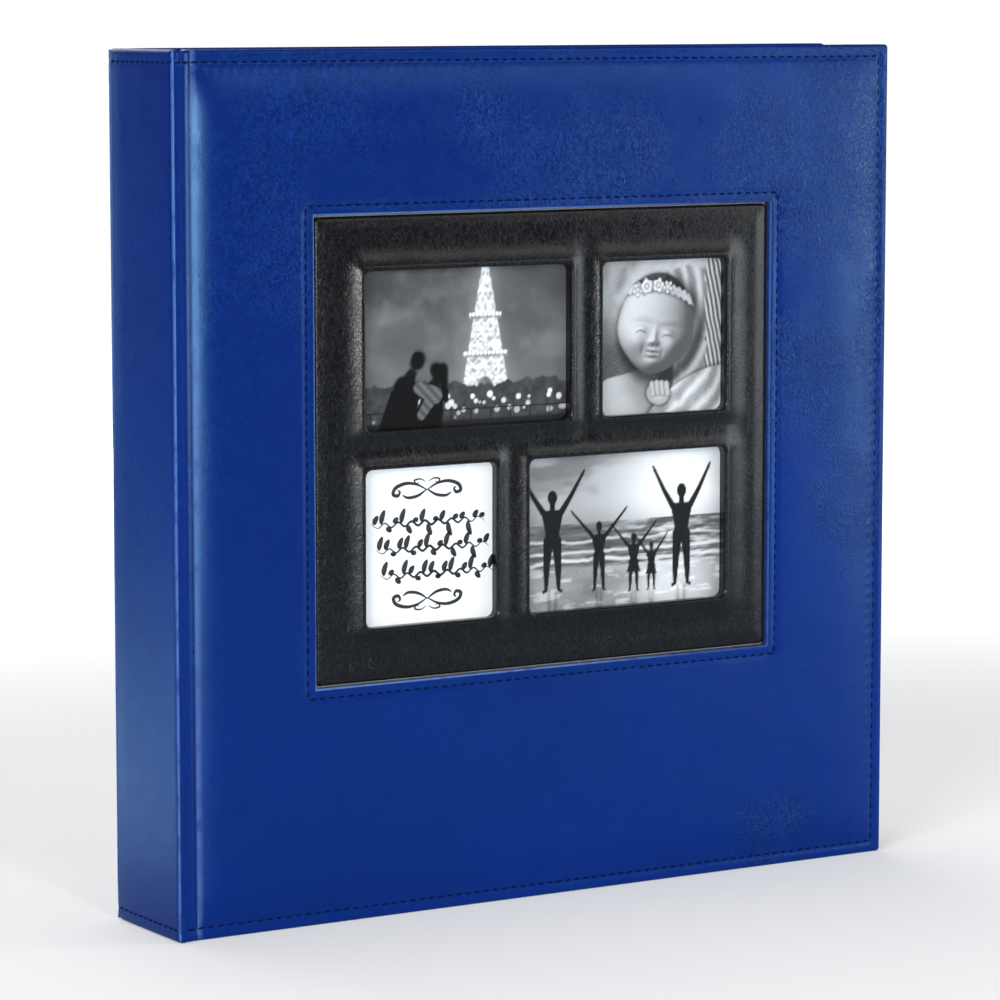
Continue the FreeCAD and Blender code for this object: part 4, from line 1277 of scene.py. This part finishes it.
class ALBUM_OT_carried(bpy.types.Operator):
    """Give the leaves, boards, linings, posts and film their finishes"""
    bl_idname = "album.carried"
    bl_label = "Leaves, Boards and Posts"

    def execute(self, context):
        for name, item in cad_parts.items():
            key = next((key for key, starts in CARRIED.items()
                        if any(name.startswith(start) for start in starts)), "blue_leather")
            for holder in item.material_slots:
                holder.material = material(key)
        return {"FINISHED"}


# ------------------------------------------------------------------------------ stage
WHITE, COOL, SKY = (1, 1, 1), (0.85, 0.94, 1.0), (0.35, 0.70, 1.0)
SOFT_BOXES = (
    # name, place, aimed at, width and height in metres, watts, colour
    ("key_box", (-1.62, -1.15, 0.74), (0, 0, 0.15), 0.9, 0.9, 33.0, WHITE),
    ("front_box", (-0.36, -2.05, 0.34), (0, 0, 0.13), 0.26, 0.6, 22.0, WHITE),
    ("right_box", (0.72, -0.58, 0.28), (0.14, 0, 0.20), 0.24, 0.5, 2.0, COOL),
    ("fore_box", (1.45, -0.76, 0.35), (0.16, 0, 0.20), 0.22, 0.6, 4.0, COOL),
    ("head_box", (0.95, -1.55, 0.88), (0, 0, 0.32), 0.6, 0.3, 2.2, WHITE),
    ("back_left_box", (-0.36, 1.95, 0.20), (-0.16, 0, 0.12), 0.8, 0.42, 1.6, SKY),
    ("rear_box", (0.1, 2.2, 1.2), (0, 0, 0.17), 1.6, 1.6, 14.0, WHITE),
    ("rear_low_box", (0.5, 1.6, 0.12), (0.05, 0, 0.15), 0.6, 0.2, 6.0, WHITE),
    ("top_box", (0.0, 0.35, 1.9), (0, 0, 0.1), 1.5, 1.5, 18.0, WHITE))
FLOOR_RADIUS = 3.0
CAMERA_AZIMUTH, CAMERA_ELEVATION = math.radians(-31.894), math.radians(6.831)
CAMERA_DISTANCE = 1.6691
CAMERA_TARGET = Vector((-0.00638, 0, 0.15585))
CAMERA_LENS = 151.32
ROOM_COLOUR, ROOM_STRENGTH = (0.96, 0.98, 1.0, 1), 0.07
BACKDROP_STRENGTH = 1.05


def place_aimed(name, data, place, target):
    item = bpy.data.objects.new(name, data)
    item.location = place
    bpy.context.scene.collection.objects.link(item)
    item.rotation_euler = (Vector(target) - item.location).to_track_quat("-Z", "Y").to_euler()
    return item


def soft_box(name, place, target, width, height, power, colour):
    light = bpy.data.lights.new(name, "AREA")
    light.shape = "RECTANGLE"
    light.size, light.size_y = width, height
    light.energy = power
    light.color = colour
    place_aimed(name, light, place, target).visible_camera = False


class ALBUM_OT_stage(bpy.types.Operator):
    """Set up the pale floor, the soft boxes and the camera"""
    bl_idname = "album.stage"
    bl_label = "Floor, Lights and Camera"

    def execute(self, context):
        bm = bmesh.new()
        bmesh.ops.create_circle(bm, cap_ends=True, segments=96, radius=FLOOR_RADIUS)
        smooth_object("studio_floor", bm, "floor")
        self.make_world()
        for box in SOFT_BOXES:
            soft_box(*box)
        away = Vector((math.sin(CAMERA_AZIMUTH) * math.cos(CAMERA_ELEVATION),
                       -math.cos(CAMERA_AZIMUTH) * math.cos(CAMERA_ELEVATION),
                       math.sin(CAMERA_ELEVATION)))
        lens = bpy.data.cameras.new("album_camera")
        lens.lens = CAMERA_LENS
        bpy.context.scene.camera = place_aimed(
            "album_camera", lens, CAMERA_TARGET + away * CAMERA_DISTANCE, CAMERA_TARGET)
        bpy.context.scene.view_settings.view_transform = "Standard"
        return {"FINISHED"}

    def make_world(self):
        """Plain white behind the album, and a dim grey room that lights it."""
        world = bpy.data.worlds.new("studio")
        bpy.context.scene.world = world
        world.use_nodes = True
        nodes, links = world.node_tree.nodes, world.node_tree.links
        room = nodes["Background"]
        white = nodes.new("ShaderNodeBackground")
        for backdrop, colour, strength in ((room, ROOM_COLOUR, ROOM_STRENGTH),
                                           (white, (1, 1, 1, 1), BACKDROP_STRENGTH)):
            backdrop.inputs["Color"].default_value = colour
            backdrop.inputs["Strength"].default_value = strength
        path = nodes.new("ShaderNodeLightPath")
        mix = nodes.new("ShaderNodeMixShader")
        links.new(path.outputs["Is Camera Ray"], mix.inputs[0])
        links.new(room.outputs[0], mix.inputs[1])
        links.new(white.outputs[0], mix.inputs[2])
        links.new(mix.outputs[0], nodes["World Output"].inputs["Surface"])


# ------------------------------------------------------------------------------ panel and run
class ALBUM_PT_panel(bpy.types.Panel):
    """Lists the album's pieces and its sizes and colours"""
    bl_idname = "ALBUM_PT_panel"
    bl_label = "Scrapbook Album"
    bl_space_type = "VIEW_3D"
    bl_region_type = "UI"
    bl_category = "Album"

    def draw(self, context):
        for operator in OPERATORS:
            self.layout.operator(operator.bl_idname)
        for group in (context.scene.album_sizes, context.scene.album_colours):
            for name in type(group).__annotations__:
                self.layout.prop(group, name)


OPERATORS = (ALBUM_OT_covers, ALBUM_OT_spine, ALBUM_OT_stitching, ALBUM_OT_frame,
             ALBUM_OT_pictures, ALBUM_OT_carried, ALBUM_OT_stage)
CLASSES = (AlbumSizes, AlbumColours) + OPERATORS + (ALBUM_PT_panel,)


def register():
    for cls in CLASSES:
        bpy.utils.register_class(cls)
    bpy.types.Scene.album_sizes = PointerProperty(type=AlbumSizes)
    bpy.types.Scene.album_colours = PointerProperty(type=AlbumColours)


def unregister():
    del bpy.types.Scene.album_sizes
    del bpy.types.Scene.album_colours
    for cls in reversed(CLASSES):
        bpy.utils.unregister_class(cls)


def main():
    register()
    bpy.ops.album.covers()
    bpy.ops.album.spine()
    bpy.ops.album.stitching()
    bpy.ops.album.frame()
    bpy.ops.album.pictures()
    bpy.ops.album.carried()
    bpy.ops.album.stage()


if __name__ == "__main__":
    main()
